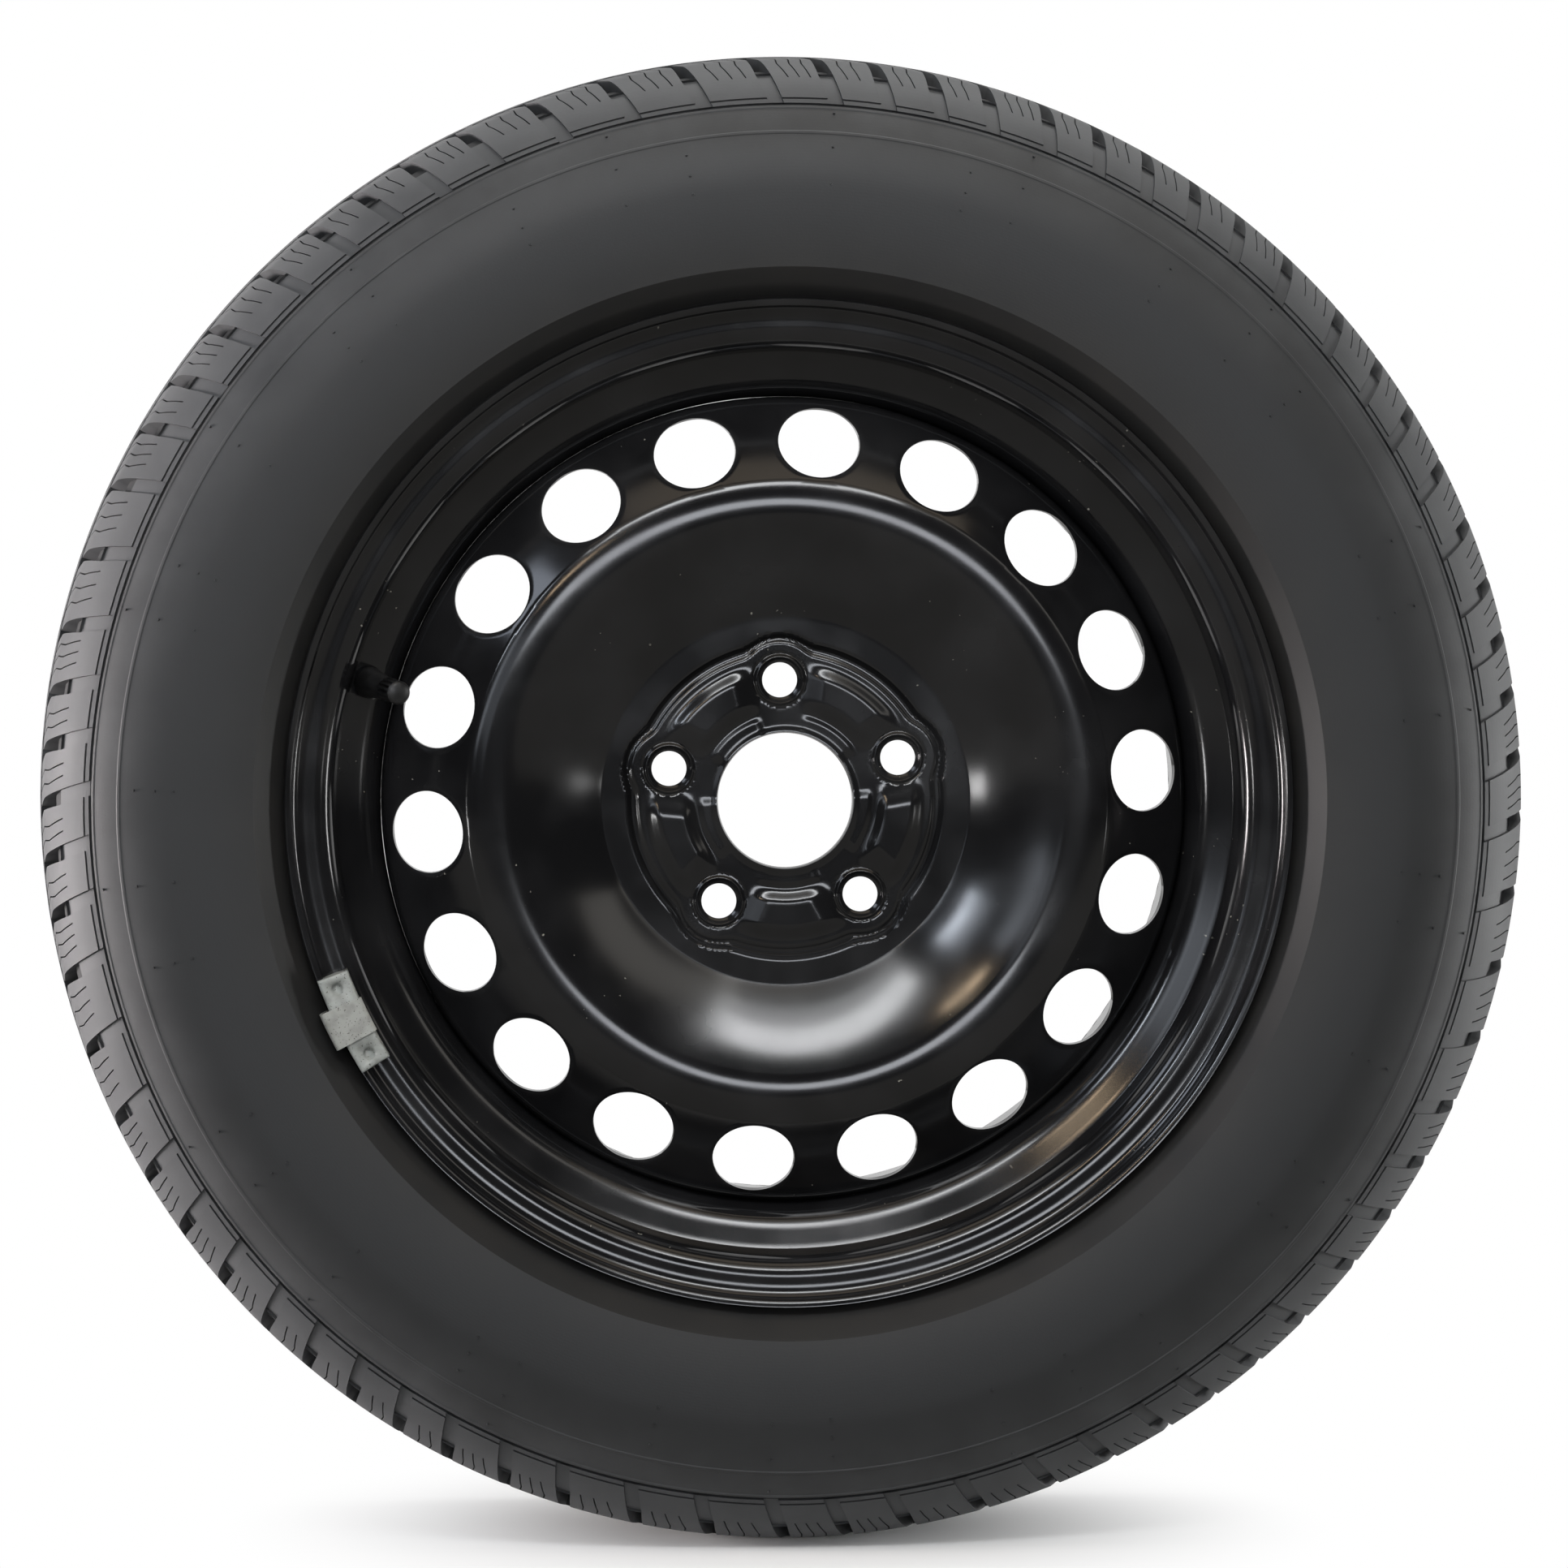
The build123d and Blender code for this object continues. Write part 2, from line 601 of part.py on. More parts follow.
def make_valve_stem():
    """Brass tube with the air passage, the core's chamber and the cap's thread."""
    bottom = -RIM_THICKNESS - VALVE_HOLE_FIT - VALVE_FOOT_HEIGHT
    shank = STEM_DIAMETER / 2 - STEM_BOND
    shoulder = VALVE_BODY_LENGTH + STEM_BOND
    chamber_floor = CORE_SEAT - STEM_CHAMBER_LENGTH
    return spun(
        (STEM_AIR_DIAMETER / 2, bottom),
        (shank, bottom),
        (shank, shoulder),
        (STEM_THREAD_DIAMETER / 2, shoulder),
        (STEM_THREAD_DIAMETER / 2, STEM_END),
        (STEM_MOUTH_DIAMETER / 2, STEM_END),
        (STEM_MOUTH_DIAMETER / 2, CORE_SEAT),
        (STEM_CHAMBER_DIAMETER / 2, CORE_SEAT),
        (STEM_CHAMBER_DIAMETER / 2, chamber_floor),
        (STEM_AIR_DIAMETER / 2, chamber_floor),
    )


CORE_SHOULDER = CORE_SEAT + RING_THICKNESS + 2 * CORE_FIT
CORE_TOP = CORE_SHOULDER + CORE_HEAD_LENGTH
CORE_BOTTOM = CORE_SHOULDER - CORE_TUBE_LENGTH
CORE_CEILING = CORE_TOP - CORE_GUIDE_LENGTH
PIN_TOP = STEM_END - PIN_RECESS
COLLAR_TOP = CORE_CEILING - PIN_COLLAR_DROP
COLLAR_BOTTOM = COLLAR_TOP - PIN_COLLAR_HEIGHT
CUP_TOP = CORE_BOTTOM - CORE_FIT
CUP_BOTTOM = CUP_TOP - SEAL_CUP_HEIGHT


def make_core_barrel():
    """Core housing: head, tube, guide hole and a floor for the spring."""
    return spun(
        (CORE_FLOOR_DIAMETER / 2, CORE_BOTTOM),
        (CORE_TUBE_DIAMETER / 2, CORE_BOTTOM),
        (CORE_TUBE_DIAMETER / 2, CORE_SHOULDER),
        (CORE_HEAD_DIAMETER / 2, CORE_SHOULDER),
        (CORE_HEAD_DIAMETER / 2, CORE_TOP),
        (CORE_GUIDE_DIAMETER / 2, CORE_TOP),
        (CORE_GUIDE_DIAMETER / 2, CORE_CEILING),
        (CORE_BORE_DIAMETER / 2, CORE_CEILING),
        (CORE_BORE_DIAMETER / 2, CORE_BOTTOM + CORE_FLOOR),
        (CORE_FLOOR_DIAMETER / 2, CORE_BOTTOM + CORE_FLOOR),
    )


def make_packing_ring():
    """Ring between the core's head and the step in the stem."""
    inner = CORE_TUBE_DIAMETER / 2 + CORE_FIT
    outer = CORE_HEAD_DIAMETER / 2
    low = CORE_SEAT + CORE_FIT
    high = low + RING_THICKNESS
    return spun((inner, low), (outer, low), (outer, high), (inner, high))


def make_core_pin():
    """Pin with its head, spring collar and the foot that carries the seal."""
    foot = CUP_BOTTOM - PIN_FOOT_HEIGHT
    return spun(
        (0, foot),
        (PIN_FOOT_DIAMETER / 2, foot),
        (PIN_FOOT_DIAMETER / 2, CUP_BOTTOM),
        (PIN_DIAMETER / 2, CUP_BOTTOM),
        (PIN_DIAMETER / 2, COLLAR_BOTTOM),
        (PIN_COLLAR_DIAMETER / 2, COLLAR_BOTTOM),
        (PIN_COLLAR_DIAMETER / 2, COLLAR_TOP),
        (PIN_DIAMETER / 2, COLLAR_TOP),
        (PIN_DIAMETER / 2, PIN_TOP - PIN_HEAD_HEIGHT),
        (PIN_HEAD_DIAMETER / 2, PIN_TOP - PIN_HEAD_HEIGHT),
        (PIN_HEAD_DIAMETER / 2, PIN_TOP),
        (0, PIN_TOP),
    )


def make_seal_cup():
    """Soft seal on the pin's foot, shut against the barrel's lower end."""
    inner = PIN_DIAMETER / 2 + CORE_FIT
    low = CUP_BOTTOM + CORE_FIT
    return spun(
        (inner, low),
        (SEAL_CUP_DIAMETER / 2, low),
        (SEAL_CUP_DIAMETER / 2, CUP_TOP),
        (inner, CUP_TOP),
    )


def make_core_spring():
    """Coil between the barrel's floor and the pin's collar."""
    radius = (SPRING_DIAMETER - SPRING_WIRE) / 2
    low = CORE_BOTTOM + CORE_FLOOR + SPRING_FIT + SPRING_WIRE / 2
    high = COLLAR_BOTTOM - SPRING_FIT - SPRING_WIRE / 2
    path = Helix((high - low) / SPRING_TURNS, high - low, radius, center=(0, 0, low))
    section = Plane(path @ 0, z_dir=path % 0) * RegularPolygon(SPRING_WIRE / 2, SPRING_WIRE_SIDES)
    return sweep(section, path, is_frenet=True)


def make_valve_cap():
    """Cap with a closed, chamfered end and grip grooves round its side."""
    low = VALVE_BODY_LENGTH + CAP_SKIRT_GAP
    top = CAP_CEILING + CAP_WALL_END
    bore = STEM_THREAD_DIAMETER / 2 + CAP_FIT
    outer = CAP_DIAMETER / 2
    cap = spun(
        (bore, low),
        (outer, low),
        (outer, top - CAP_CHAMFER),
        (outer - CAP_CHAMFER, top),
        (0, top),
        (0, CAP_CEILING),
        (bore, CAP_CEILING),
    )
    cut_radius = CAP_RIB_CUT_DIAMETER / 2
    cut_length = top - CAP_RIB_TOP_MARGIN - low
    reach = outer + cut_radius - CAP_RIB_DEPTH
    cut = Pos(reach, 0, low) * rising(cut_radius, cut_length)
    return cap - [Rot(0, 0, i * 360 / CAP_RIB_COUNT) * cut for i in range(CAP_RIB_COUNT)]


def make_cap_seal():
    """Washer between the stem's end and the cap's closed end."""
    low = STEM_END + CAP_SEAL_FIT
    high = low + CAP_SEAL_THICKNESS
    inner = CAP_SEAL_HOLE_DIAMETER / 2
    outer = STEM_THREAD_DIAMETER / 2
    return spun((inner, low), (outer, low), (outer, high), (inner, high))


# Balance weight

def weight_front():
    """Outward depth of the weight's front face."""
    return FLANGE_TIP + WEIGHT_FIT + WEIGHT_THICKNESS


def weight_section():
    """Section that fills the flange's curl and covers the flange's edge."""
    curl = FLANGE_RADIUS - RIM_THICKNESS - WEIGHT_FIT
    centre_radius, centre_outward = FLANGE_CENTRE
    wall = HALF_RIM + RIM_THICKNESS + WEIGHT_FIT
    half_turn = math.radians(45)
    middle = (centre_radius + curl * math.sin(half_turn), centre_outward - curl * math.cos(half_turn))
    crook = (centre_radius + curl, centre_outward)
    notch = centre_radius + curl * math.cos(math.radians(FLANGE_TURN - 90)) - WEIGHT_FIT
    front = weight_front()
    ledge = FLANGE_TIP + WEIGHT_FIT
    outline = Polyline(
        crook,
        (notch, centre_outward + curl / 2),
        (notch, ledge),
        (WEIGHT_TOP_RADIUS, ledge),
        (WEIGHT_TOP_RADIUS, front),
        (WEIGHT_LOW_RADIUS, front),
        (WEIGHT_LOW_RADIUS, wall),
        (centre_radius, wall),
    )
    return make_face([ThreePointArc((centre_radius, wall), middle, crook), outline])


def make_weight():
    """Cast weight, bent to the flange, with two round recesses in its front."""
    weight = swept_arc(weight_section(), WEIGHT_CLOCK, WEIGHT_ARC)
    front = -weight_front()
    rounded = [edge for edge in weight.edges() if abs(edge.center().Y - front) < WEIGHT_EDGE_RADIUS / 10]
    weight = fillet(rounded, WEIGHT_EDGE_RADIUS)
    for side in (-1, 1):
        clock = WEIGHT_CLOCK + side * WEIGHT_RECESS_SPREAD
        recess = Plane(origin=(WEIGHT_RECESS_RADIUS, front, 0), z_dir=(0, 1, 0)).location
        recess *= Cylinder(WEIGHT_RECESS_DIAMETER / 2, 2 * WEIGHT_RECESS_DEPTH)
        weight -= at_clock(clock) * recess
    return weight


def make_clip():
    """Spring strip over the weight's front, hooked round the flange's edge."""
    lift = CLIP_FIT
    front = weight_front() + lift
    low = WEIGHT_LOW_RADIUS - lift
    crest = FLANGE_TOP + WEIGHT_FIT + CLIP_CREST_RISE
    hook = FLANGE_TOP + WEIGHT_FIT
    hook_end = FLANGE_CENTRE[1] - CLIP_HOOK_SETBACK
    points = [
        (hook, hook_end),
        (crest, hook_end + CLIP_HOOK_LENGTH),
        (crest, front),
        (low, front),
        (low, front - CLIP_TAIL),
    ]
    section = sheet(points, WEIGHT_EDGE_RADIUS + CLIP_FIT, CLIP_THICKNESS)
    return swept_arc(section, WEIGHT_CLOCK, CLIP_ARC)


# Writing one file for each piece

def export_parts():
    """Places every piece in the wheel's frame and writes it."""
    valve = valve_place()
    parts = {
        "tyre": make_tyre(),
        "rim": make_rim(),
        "wheel_disc": make_disc(),
        "disc_welds": Compound(children=make_welds()),
        "valve_body": valve * make_valve_body(),
        "valve_stem": valve * make_valve_stem(),
        "core_barrel": valve * make_core_barrel(),
        "core_packing_ring": valve * make_packing_ring(),
        "core_pin": valve * make_core_pin(),
        "core_seal_cup": valve * make_seal_cup(),
        "core_spring": valve * make_core_spring(),
        "valve_cap": valve * make_valve_cap(),
        "cap_seal": valve * make_cap_seal(),
        "balance_weight": make_weight(),
        "weight_clip": make_clip(),
    }
    os.makedirs("parts", exist_ok=True)
    for name, part in parts.items():
        export_step(part, f"parts/{name}.step")


export_parts()
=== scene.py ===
import logging
import math
from collections.abc import Callable, Iterable, Sequence
from dataclasses import dataclass, field
from enum import Enum

import bmesh
import bpy
from mathutils import Matrix, Vector


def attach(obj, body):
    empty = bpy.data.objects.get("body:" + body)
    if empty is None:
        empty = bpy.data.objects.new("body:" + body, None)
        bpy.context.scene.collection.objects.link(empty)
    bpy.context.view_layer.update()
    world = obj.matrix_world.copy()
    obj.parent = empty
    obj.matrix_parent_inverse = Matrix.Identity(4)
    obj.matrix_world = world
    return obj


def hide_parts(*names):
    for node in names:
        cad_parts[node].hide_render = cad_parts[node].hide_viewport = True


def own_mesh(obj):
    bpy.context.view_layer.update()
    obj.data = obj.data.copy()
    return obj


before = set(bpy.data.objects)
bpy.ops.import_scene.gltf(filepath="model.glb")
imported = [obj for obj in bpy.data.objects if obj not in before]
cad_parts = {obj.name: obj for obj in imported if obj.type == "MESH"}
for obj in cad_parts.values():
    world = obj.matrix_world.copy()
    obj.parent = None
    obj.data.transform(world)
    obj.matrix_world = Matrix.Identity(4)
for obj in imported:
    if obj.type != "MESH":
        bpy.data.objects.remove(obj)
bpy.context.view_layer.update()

LOG = logging.getLogger("wheel")
MM = 0.001
PHOTO_WIDTH = 1932
WELD_DISTANCE = 1e-6
SHARP_CORNER = 60.0
RAMP_STRAIGHT, RAMP_ROUND = 0.55, 0.45
Point = tuple[float, float]
Tree = bpy.types.NodeTree
Socket = bpy.types.NodeSocket


class Body(str, Enum):
    """Bodies of the model that pieces ride on."""

    WHEEL = "wheel"
    CAP = "cap"


class Pitch(Enum):
    """Lengths of tread pitch, as shares of the middle one, with their sipe counts."""

    S = (0.885, 2)
    M = (1.0, 3)
    L = (1.18, 3)

    @property
    def share(self) -> float:
        """Length of the pitch beside the middle one's."""
        return self.value[0]

    @property
    def sipes(self) -> int:
        """Number of sipes in the pitch's blocks."""
        return self.value[1]


# Small tools

def linear(colour: str) -> tuple[float, float, float, float]:
    """Turns an sRGB hex colour to linear RGBA.

    Args:
        colour: six hex digits after a hash.

    Returns:
        The four linear channels.
    """
    shares = [int(colour[i:i + 2], 16) / 255 for i in (1, 3, 5)]
    red, green, blue = (s / 12.92 if s <= 0.04045 else ((s + 0.055) / 1.055) ** 2.4 for s in shares)
    return red, green, blue, 1.0


def add_node(
    tree: Tree, kind: str, inputs: dict | None = None, **settings: object
) -> bpy.types.Node:
    """Adds a shader node with its settings and links.

    Args:
        tree: the node tree that gets the node.
        kind: Blender's type name, without its ShaderNode prefix.
        inputs: for each input, by name or number, a value or the socket that feeds it.
        settings: the node's own properties.

    Returns:
        The new node.
    """
    node = tree.nodes.new("ShaderNode" + kind)
    for name, value in settings.items():
        setattr(node, name, value)
    for key, value in (inputs or {}).items():
        if isinstance(value, Socket):
            tree.links.new(value, node.inputs[key])
        else:
            node.inputs[key].default_value = value
    return node


def arithmetic(tree: Tree, operation: str, *values: object) -> Socket:
    """Works out an operation on numbers or sockets."""
    return add_node(tree, "Math", dict(enumerate(values)), operation=operation).outputs[0]


def stretch(
    tree: Tree, value: Socket, ends: Point, results: Point = (0.0, 1.0), smooth: bool = False
) -> Socket:
    """Stretches a value from one span to another, with the ends held.

    Args:
        tree: the node tree.
        value: what is stretched.
        ends: the span that it comes from.
        results: the span that it goes to.
        smooth: eases both ends.

    Returns:
        The stretched value.
    """
    inputs = {"Value": value, "From Min": ends[0], "From Max": ends[1]}
    inputs |= {"To Min": results[0], "To Max": results[1]}
    blend = "SMOOTHSTEP" if smooth else "LINEAR"
    return add_node(tree, "MapRange", inputs, interpolation_type=blend).outputs["Result"]


def distance(tree: Tree, place: Socket, kept: tuple[int, int, int]) -> Socket:
    """Measures the distance from the origin along the axes that are kept."""
    flat = add_node(tree, "Mapping", {"Vector": place, "Scale": kept}).outputs["Vector"]
    return add_node(tree, "VectorMath", {0: flat}, operation="LENGTH").outputs["Value"]


def metres(ends: Point) -> Point:
    """Turns a span in millimetres to metres."""
    return ends[0] * MM, ends[1] * MM


def per_metre(millimetres: float) -> float:
    """Texture scale that gives features of a size in millimetres."""
    return 1 / (millimetres * MM)


def at(point: Point) -> Vector:
    """Place of a (radius, outward) section point, at three o'clock."""
    return Vector((point[0] * MM, -point[1] * MM, 0))


def clock_turn(clock: float) -> Matrix:
    """Turn that takes three o'clock to a clock angle."""
    return Matrix.Rotation(math.radians(clock - 90), 4, "Y")


def ease(share: float) -> float:
    """Smooth step from 0 to 1."""
    share = min(max(share, 0), 1)
    return share * share * (3 - 2 * share)


def ramp(share: float) -> float:
    """Step from 0 to 1 with a straight flank and rounded ends."""
    share = min(max(share, 0), 1)
    return RAMP_STRAIGHT * share + RAMP_ROUND * ease(share)


def soft_least(first: float, second: float, blend: float) -> float:
    """Smaller of two distances, with the corner between them rounded."""
    mix = min(max(0.5 + 0.5 * (second - first) / blend, 0), 1)
    return second + (first - second) * mix - blend * mix * (1 - mix)


class Mould:
    """A mesh in the making, from section lines that are drawn at three o'clock and spun."""

    def __init__(self) -> None:
        """Starts with nothing drawn."""
        self.mesh = bmesh.new()
        self.tip: bmesh.types.BMVert | None = None
        self.corners: list[tuple[bmesh.types.BMVert, float]] = []

    def start(self, point: Point) -> None:
        """Puts the pen on a section point."""
        self.tip = self.mesh.verts.new(at(point))

    def line(self, *points: Point, radius: float = 0.0) -> None:
        """Draws straight lines on to more points.

        Args:
            points: the next (radius, outward) points.
            radius: rounding of the corners there, in millimetres.
        """
        for point in points:
            corner = self.mesh.verts.new(at(point))
            self.mesh.edges.new((self.tip, corner))
            self.tip = corner
            if radius:
                self.corners.append((corner, radius))

    def arc(self, centre: Point, end: Point, steps: int) -> None:
        """Draws an arc about a centre to an end point.

        Args:
            centre: middle of the arc.
            end: where the arc stops.
            steps: straight pieces that it has.
        """
        start, stop = self.tip.co - at(centre), at(end) - at(centre)
        turn = math.atan2(stop.y, stop.x) - math.atan2(start.y, start.x)
        turn = (turn + math.pi) % math.tau - math.pi
        drawn = bmesh.ops.spin(
            self.mesh, geom=[self.tip], cent=at(centre), axis=(0, 0, 1), angle=turn, steps=steps
        )
        self.tip = next(v for v in drawn["geom_last"] if isinstance(v, bmesh.types.BMVert))

    def round_corners(self, segments: int) -> None:
        """Rounds each corner that was drawn with a radius."""
        for corner, radius in self.corners:
            before, after = (edge.other_vert(corner).co - corner.co for edge in corner.link_edges)
            reach = radius * MM / math.tan(before.angle(after) / 2)
            bmesh.ops.bevel(
                self.mesh, geom=[corner], offset=reach, offset_type="OFFSET", segments=segments,
                profile=0.5, affect="VERTICES", material=-1,
            )
        self.corners = []

    def divide(self, longest: float, low: float = 0.0, high: float = math.inf) -> None:
        """Divides the long lines of a section.

        Args:
            longest: longest piece to leave, in millimetres.
            low: smallest radius at which lines are divided.
            high: largest radius at which lines are divided.
        """
        for edge in self.mesh.edges[:]:
            middle = (edge.verts[0].co.x + edge.verts[1].co.x) / 2 / MM
            cuts = math.ceil(edge.calc_length() / MM / longest) - 1
            if cuts > 0 and low <= middle <= high:
                bmesh.ops.subdivide_edges(self.mesh, edges=[edge], cuts=cuts)

    def profile(self) -> list[Point]:
        """Section points that are drawn so far, by radius."""
        return sorted((v.co.x / MM, -v.co.y / MM) for v in self.mesh.verts)

    def spin(self, steps: int) -> None:
        """Spins the section right round the wheel's axis."""
        bmesh.ops.spin(
            self.mesh, geom=self.mesh.verts[:] + self.mesh.edges[:], cent=(0, 0, 0), axis=(0, 1, 0),
            angle=math.tau, steps=steps, use_merge=True,
        )

    def mirror(self) -> None:
        """Adds the other half, across the rim's mid-plane."""
        half = self.mesh.verts[:] + self.mesh.edges[:] + self.mesh.faces[:]
        bmesh.ops.mirror(self.mesh, geom=half, axis="Y", merge_dist=WELD_DISTANCE)

    def weld(self) -> None:
        """Merges doubled vertices and turns the faces outwards."""
        bmesh.ops.remove_doubles(self.mesh, verts=self.mesh.verts[:], dist=WELD_DISTANCE)
        bmesh.ops.recalc_face_normals(self.mesh, faces=self.mesh.faces[:])

    def face_towards(self, towards: Callable[[Vector], Vector]) -> None:
        """Turns an open sheet over if its faces look away from a direction.

        Args:
            towards: gives the wanted direction at a place.
        """
        looks = sum(f.normal.dot(towards(f.calc_center_median())) * f.calc_area() for f in self.mesh.faces)
        if looks < 0:
            bmesh.ops.reverse_faces(self.mesh, faces=self.mesh.faces[:])

    def thicken(self, thickness: float) -> None:
        """Gives a sheet its thickness, in millimetres, behind its faces."""
        bmesh.ops.solidify(self.mesh, geom=self.mesh.faces[:], thickness=thickness * MM)

    def punch(
        self, place: Matrix, rings: Sequence[tuple[float, float]], margin: float,
        surface: Callable[[Vector], Vector], segments: int,
    ) -> None:
        """Makes a round hole with clean rings round it in a sheet.

        Args:
            place: frame of the hole, its Z along the hole.
            rings: (radius, lift) of the rings from the hole's edge outwards, in millimetres.
            margin: clearance outside the last ring, in millimetres.
            surface: puts a point on the sheet.
            segments: sides of each ring.
        """
        inverse = place.inverted()
        reach = (rings[-1][0] + margin) * MM
        near = []
        for face in self.mesh.faces:
            spot = [inverse @ v.co for v in face.verts]
            if any(math.hypot(p.x, p.y) < reach and abs(p.z) < reach for p in spot):
                near.append(face)
        edges = {edge for face in near for edge in face.edges}
        inside = set(near)
        border = [e for e in edges if any(f not in inside for f in e.link_faces)]
        bmesh.ops.delete(self.mesh, geom=near, context="FACES")
        loops = []
        for radius, lift in rings:
            made = bmesh.ops.create_circle(
                self.mesh, cap_ends=False, radius=radius * MM, segments=segments, matrix=place
            )
            for vert in made["verts"]:
                vert.co = surface(vert.co) + place.to_3x3().col[2] * lift * MM
            loops.append(list({e for v in made["verts"] for e in v.link_edges}))
        for inner, outer in zip(loops, loops[1:] + [border]):
            bmesh.ops.bridge_loops(self.mesh, edges=inner + outer)

    def soften(self, width: float, angle: float, segments: int = 2) -> None:
        """Bevels the sharp edges.

        Args:
            width: width of the bevel, in millimetres.
            angle: least angle between faces, in degrees.
            segments: pieces across the bevel.
        """
        least = math.radians(angle)
        sharp = [e for e in self.mesh.edges if len(e.link_faces) == 2 and e.calc_face_angle() > least]
        bmesh.ops.bevel(
            self.mesh, geom=sharp, offset=width * MM, offset_type="OFFSET", segments=segments, profile=0.5,
            affect="EDGES", material=-1, clamp_overlap=True,
        )

    def add_copy(self, source: bpy.types.Object) -> None:
        """Takes over a CAD node's mesh, with its loose triangles merged."""
        self.mesh.from_mesh(source.data)
        bmesh.ops.remove_doubles(self.mesh, verts=self.mesh.verts[:], dist=WELD_DISTANCE)

    def cast(
        self, name: str, finishes: Sequence["Finish"], body: Body, nodes: Iterable[str] = (),
        sharp: float = 30.0,
    ) -> bpy.types.Object:
        """Makes the finished piece.

        Args:
            name: name of the piece.
            finishes: what its faces are made of, by material number.
            body: body that it rides on.
            nodes: CAD nodes that it stands for.
            sharp: angle in degrees above which edges stay sharp.

        Returns:
            The piece.
        """
        mesh = bpy.data.meshes.new(name)
        self.mesh.to_mesh(mesh)
        self.mesh.free()
        for finish in finishes:
            mesh.materials.append(finish.material())
        mesh.shade_smooth()
        mesh.set_sharp_from_angle(angle=math.radians(sharp))
        piece = bpy.data.objects.new(name, mesh)
        bpy.context.collection.objects.link(piece)
        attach(piece, body.value)
        if nodes:
            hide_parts(*nodes)
        LOG.info("%s: %d faces", name, len(mesh.polygons))
        return piece


# Finishes

@dataclass(frozen=True)
class Finish:
    """A surface, from its colour and gloss, with detail that each kind adds.

    A noise is given as (feature size in mm, octaves) and a bump as (depth in mm, strength). A span
    is the part of a noise or radius that counts, and a share is what it is stretched to.
    """

    name: str
    colour: str
    roughness: float
    metallic: float = 0.0

    def material(self) -> bpy.types.Material:
        """Returns the finish's material, made the first time it is asked for."""
        made = bpy.data.materials.get(self.name)
        if made:
            return made
        made = bpy.data.materials.new(self.name)
        made.use_nodes = True
        shader = made.node_tree.nodes["Principled BSDF"]
        shader.inputs["Base Color"].default_value = linear(self.colour)
        shader.inputs["Roughness"].default_value = self.roughness
        shader.inputs["Metallic"].default_value = self.metallic
        self.detail(made.node_tree, shader)
        made.diffuse_color = linear(self.colour)
        return made

    def detail(self, tree: Tree, shader: bpy.types.Node) -> None:
        """Adds what the eye sees of how the surface was made."""
        raise NotImplementedError

    def place(self, tree: Tree) -> Socket:
        """Adds the piece's own coordinates, in metres."""
        return add_node(tree, "TexCoord").outputs["Object"]

    def noise(self, tree: Tree, place: Socket, size: float, octaves: float) -> Socket:
        """Adds cloudy noise of a feature size in millimetres."""
        inputs = {"Vector": place, "Scale": per_metre(size), "Detail": octaves}
        return add_node(tree, "TexNoise", inputs).outputs["Fac"]

    def mix(self, tree: Tree, share: Socket, first: object, second: object) -> Socket:
        """Mixes two colours, which are a Mix node's inputs 6 and 7 and its output 2."""
        inputs = {"Factor": share, 6: first, 7: second}
        return add_node(tree, "Mix", inputs, data_type="RGBA").outputs[2]

    def bump(
        self, tree: Tree, height: Socket, depth: float, strength: float, under: Socket | None = None
    ) -> Socket:
        """Turns a height to a normal, with the depth in millimetres."""
        inputs = {"Height": height, "Distance": depth * MM, "Strength": strength}
        if under:
            inputs["Normal"] = under
        return add_node(tree, "Bump", inputs).outputs["Normal"]


@dataclass(frozen=True)
class StoveEnamel(Finish):
    """Black stove enamel dipped over pressed steel.

    The wet film levels out to a deep gloss with a slight orange peel, and handling leaves a thin
    haze and a few pale chips.
    """

    peel: Point = (2.6, 1.0)
    peel_bump: Point = (0.006, 0.08)
    haze: Point = (45.0, 4.0)
    haze_span: Point = (0.42, 0.72)
    haze_colour: str = "#222223"
    haze_dulls: float = 0.06
    chip: Point = (2.2, 1.0)
    chip_span: Point = (0.765, 0.775)
    chip_patch: Point = (38.0, 2.0)
    chip_patch_span: Point = (0.58, 0.62)
    chip_colour: str = "#8d8a80"

    def detail(self, tree: Tree, shader: bpy.types.Node) -> None:
        """Adds the orange peel, the haze and the chips."""
        place = self.place(tree)
        haze = stretch(tree, self.noise(tree, place, *self.haze), self.haze_span)
        chips = stretch(tree, self.noise(tree, place, *self.chip), self.chip_span)
        patch = stretch(tree, self.noise(tree, place, *self.chip_patch), self.chip_patch_span)
        chipped = arithmetic(tree, "MULTIPLY", chips, patch)
        film = self.mix(tree, haze, linear(self.colour), linear(self.haze_colour))
        colour = self.mix(tree, chipped, film, linear(self.chip_colour))
        tree.links.new(colour, shader.inputs["Base Color"])
        gloss = stretch(tree, haze, (0.0, 1.0), (self.roughness, self.roughness + self.haze_dulls))
        tree.links.new(gloss, shader.inputs["Roughness"])
        peel = self.bump(tree, self.noise(tree, place, *self.peel), *self.peel_bump)
        tree.links.new(peel, shader.inputs["Normal"])


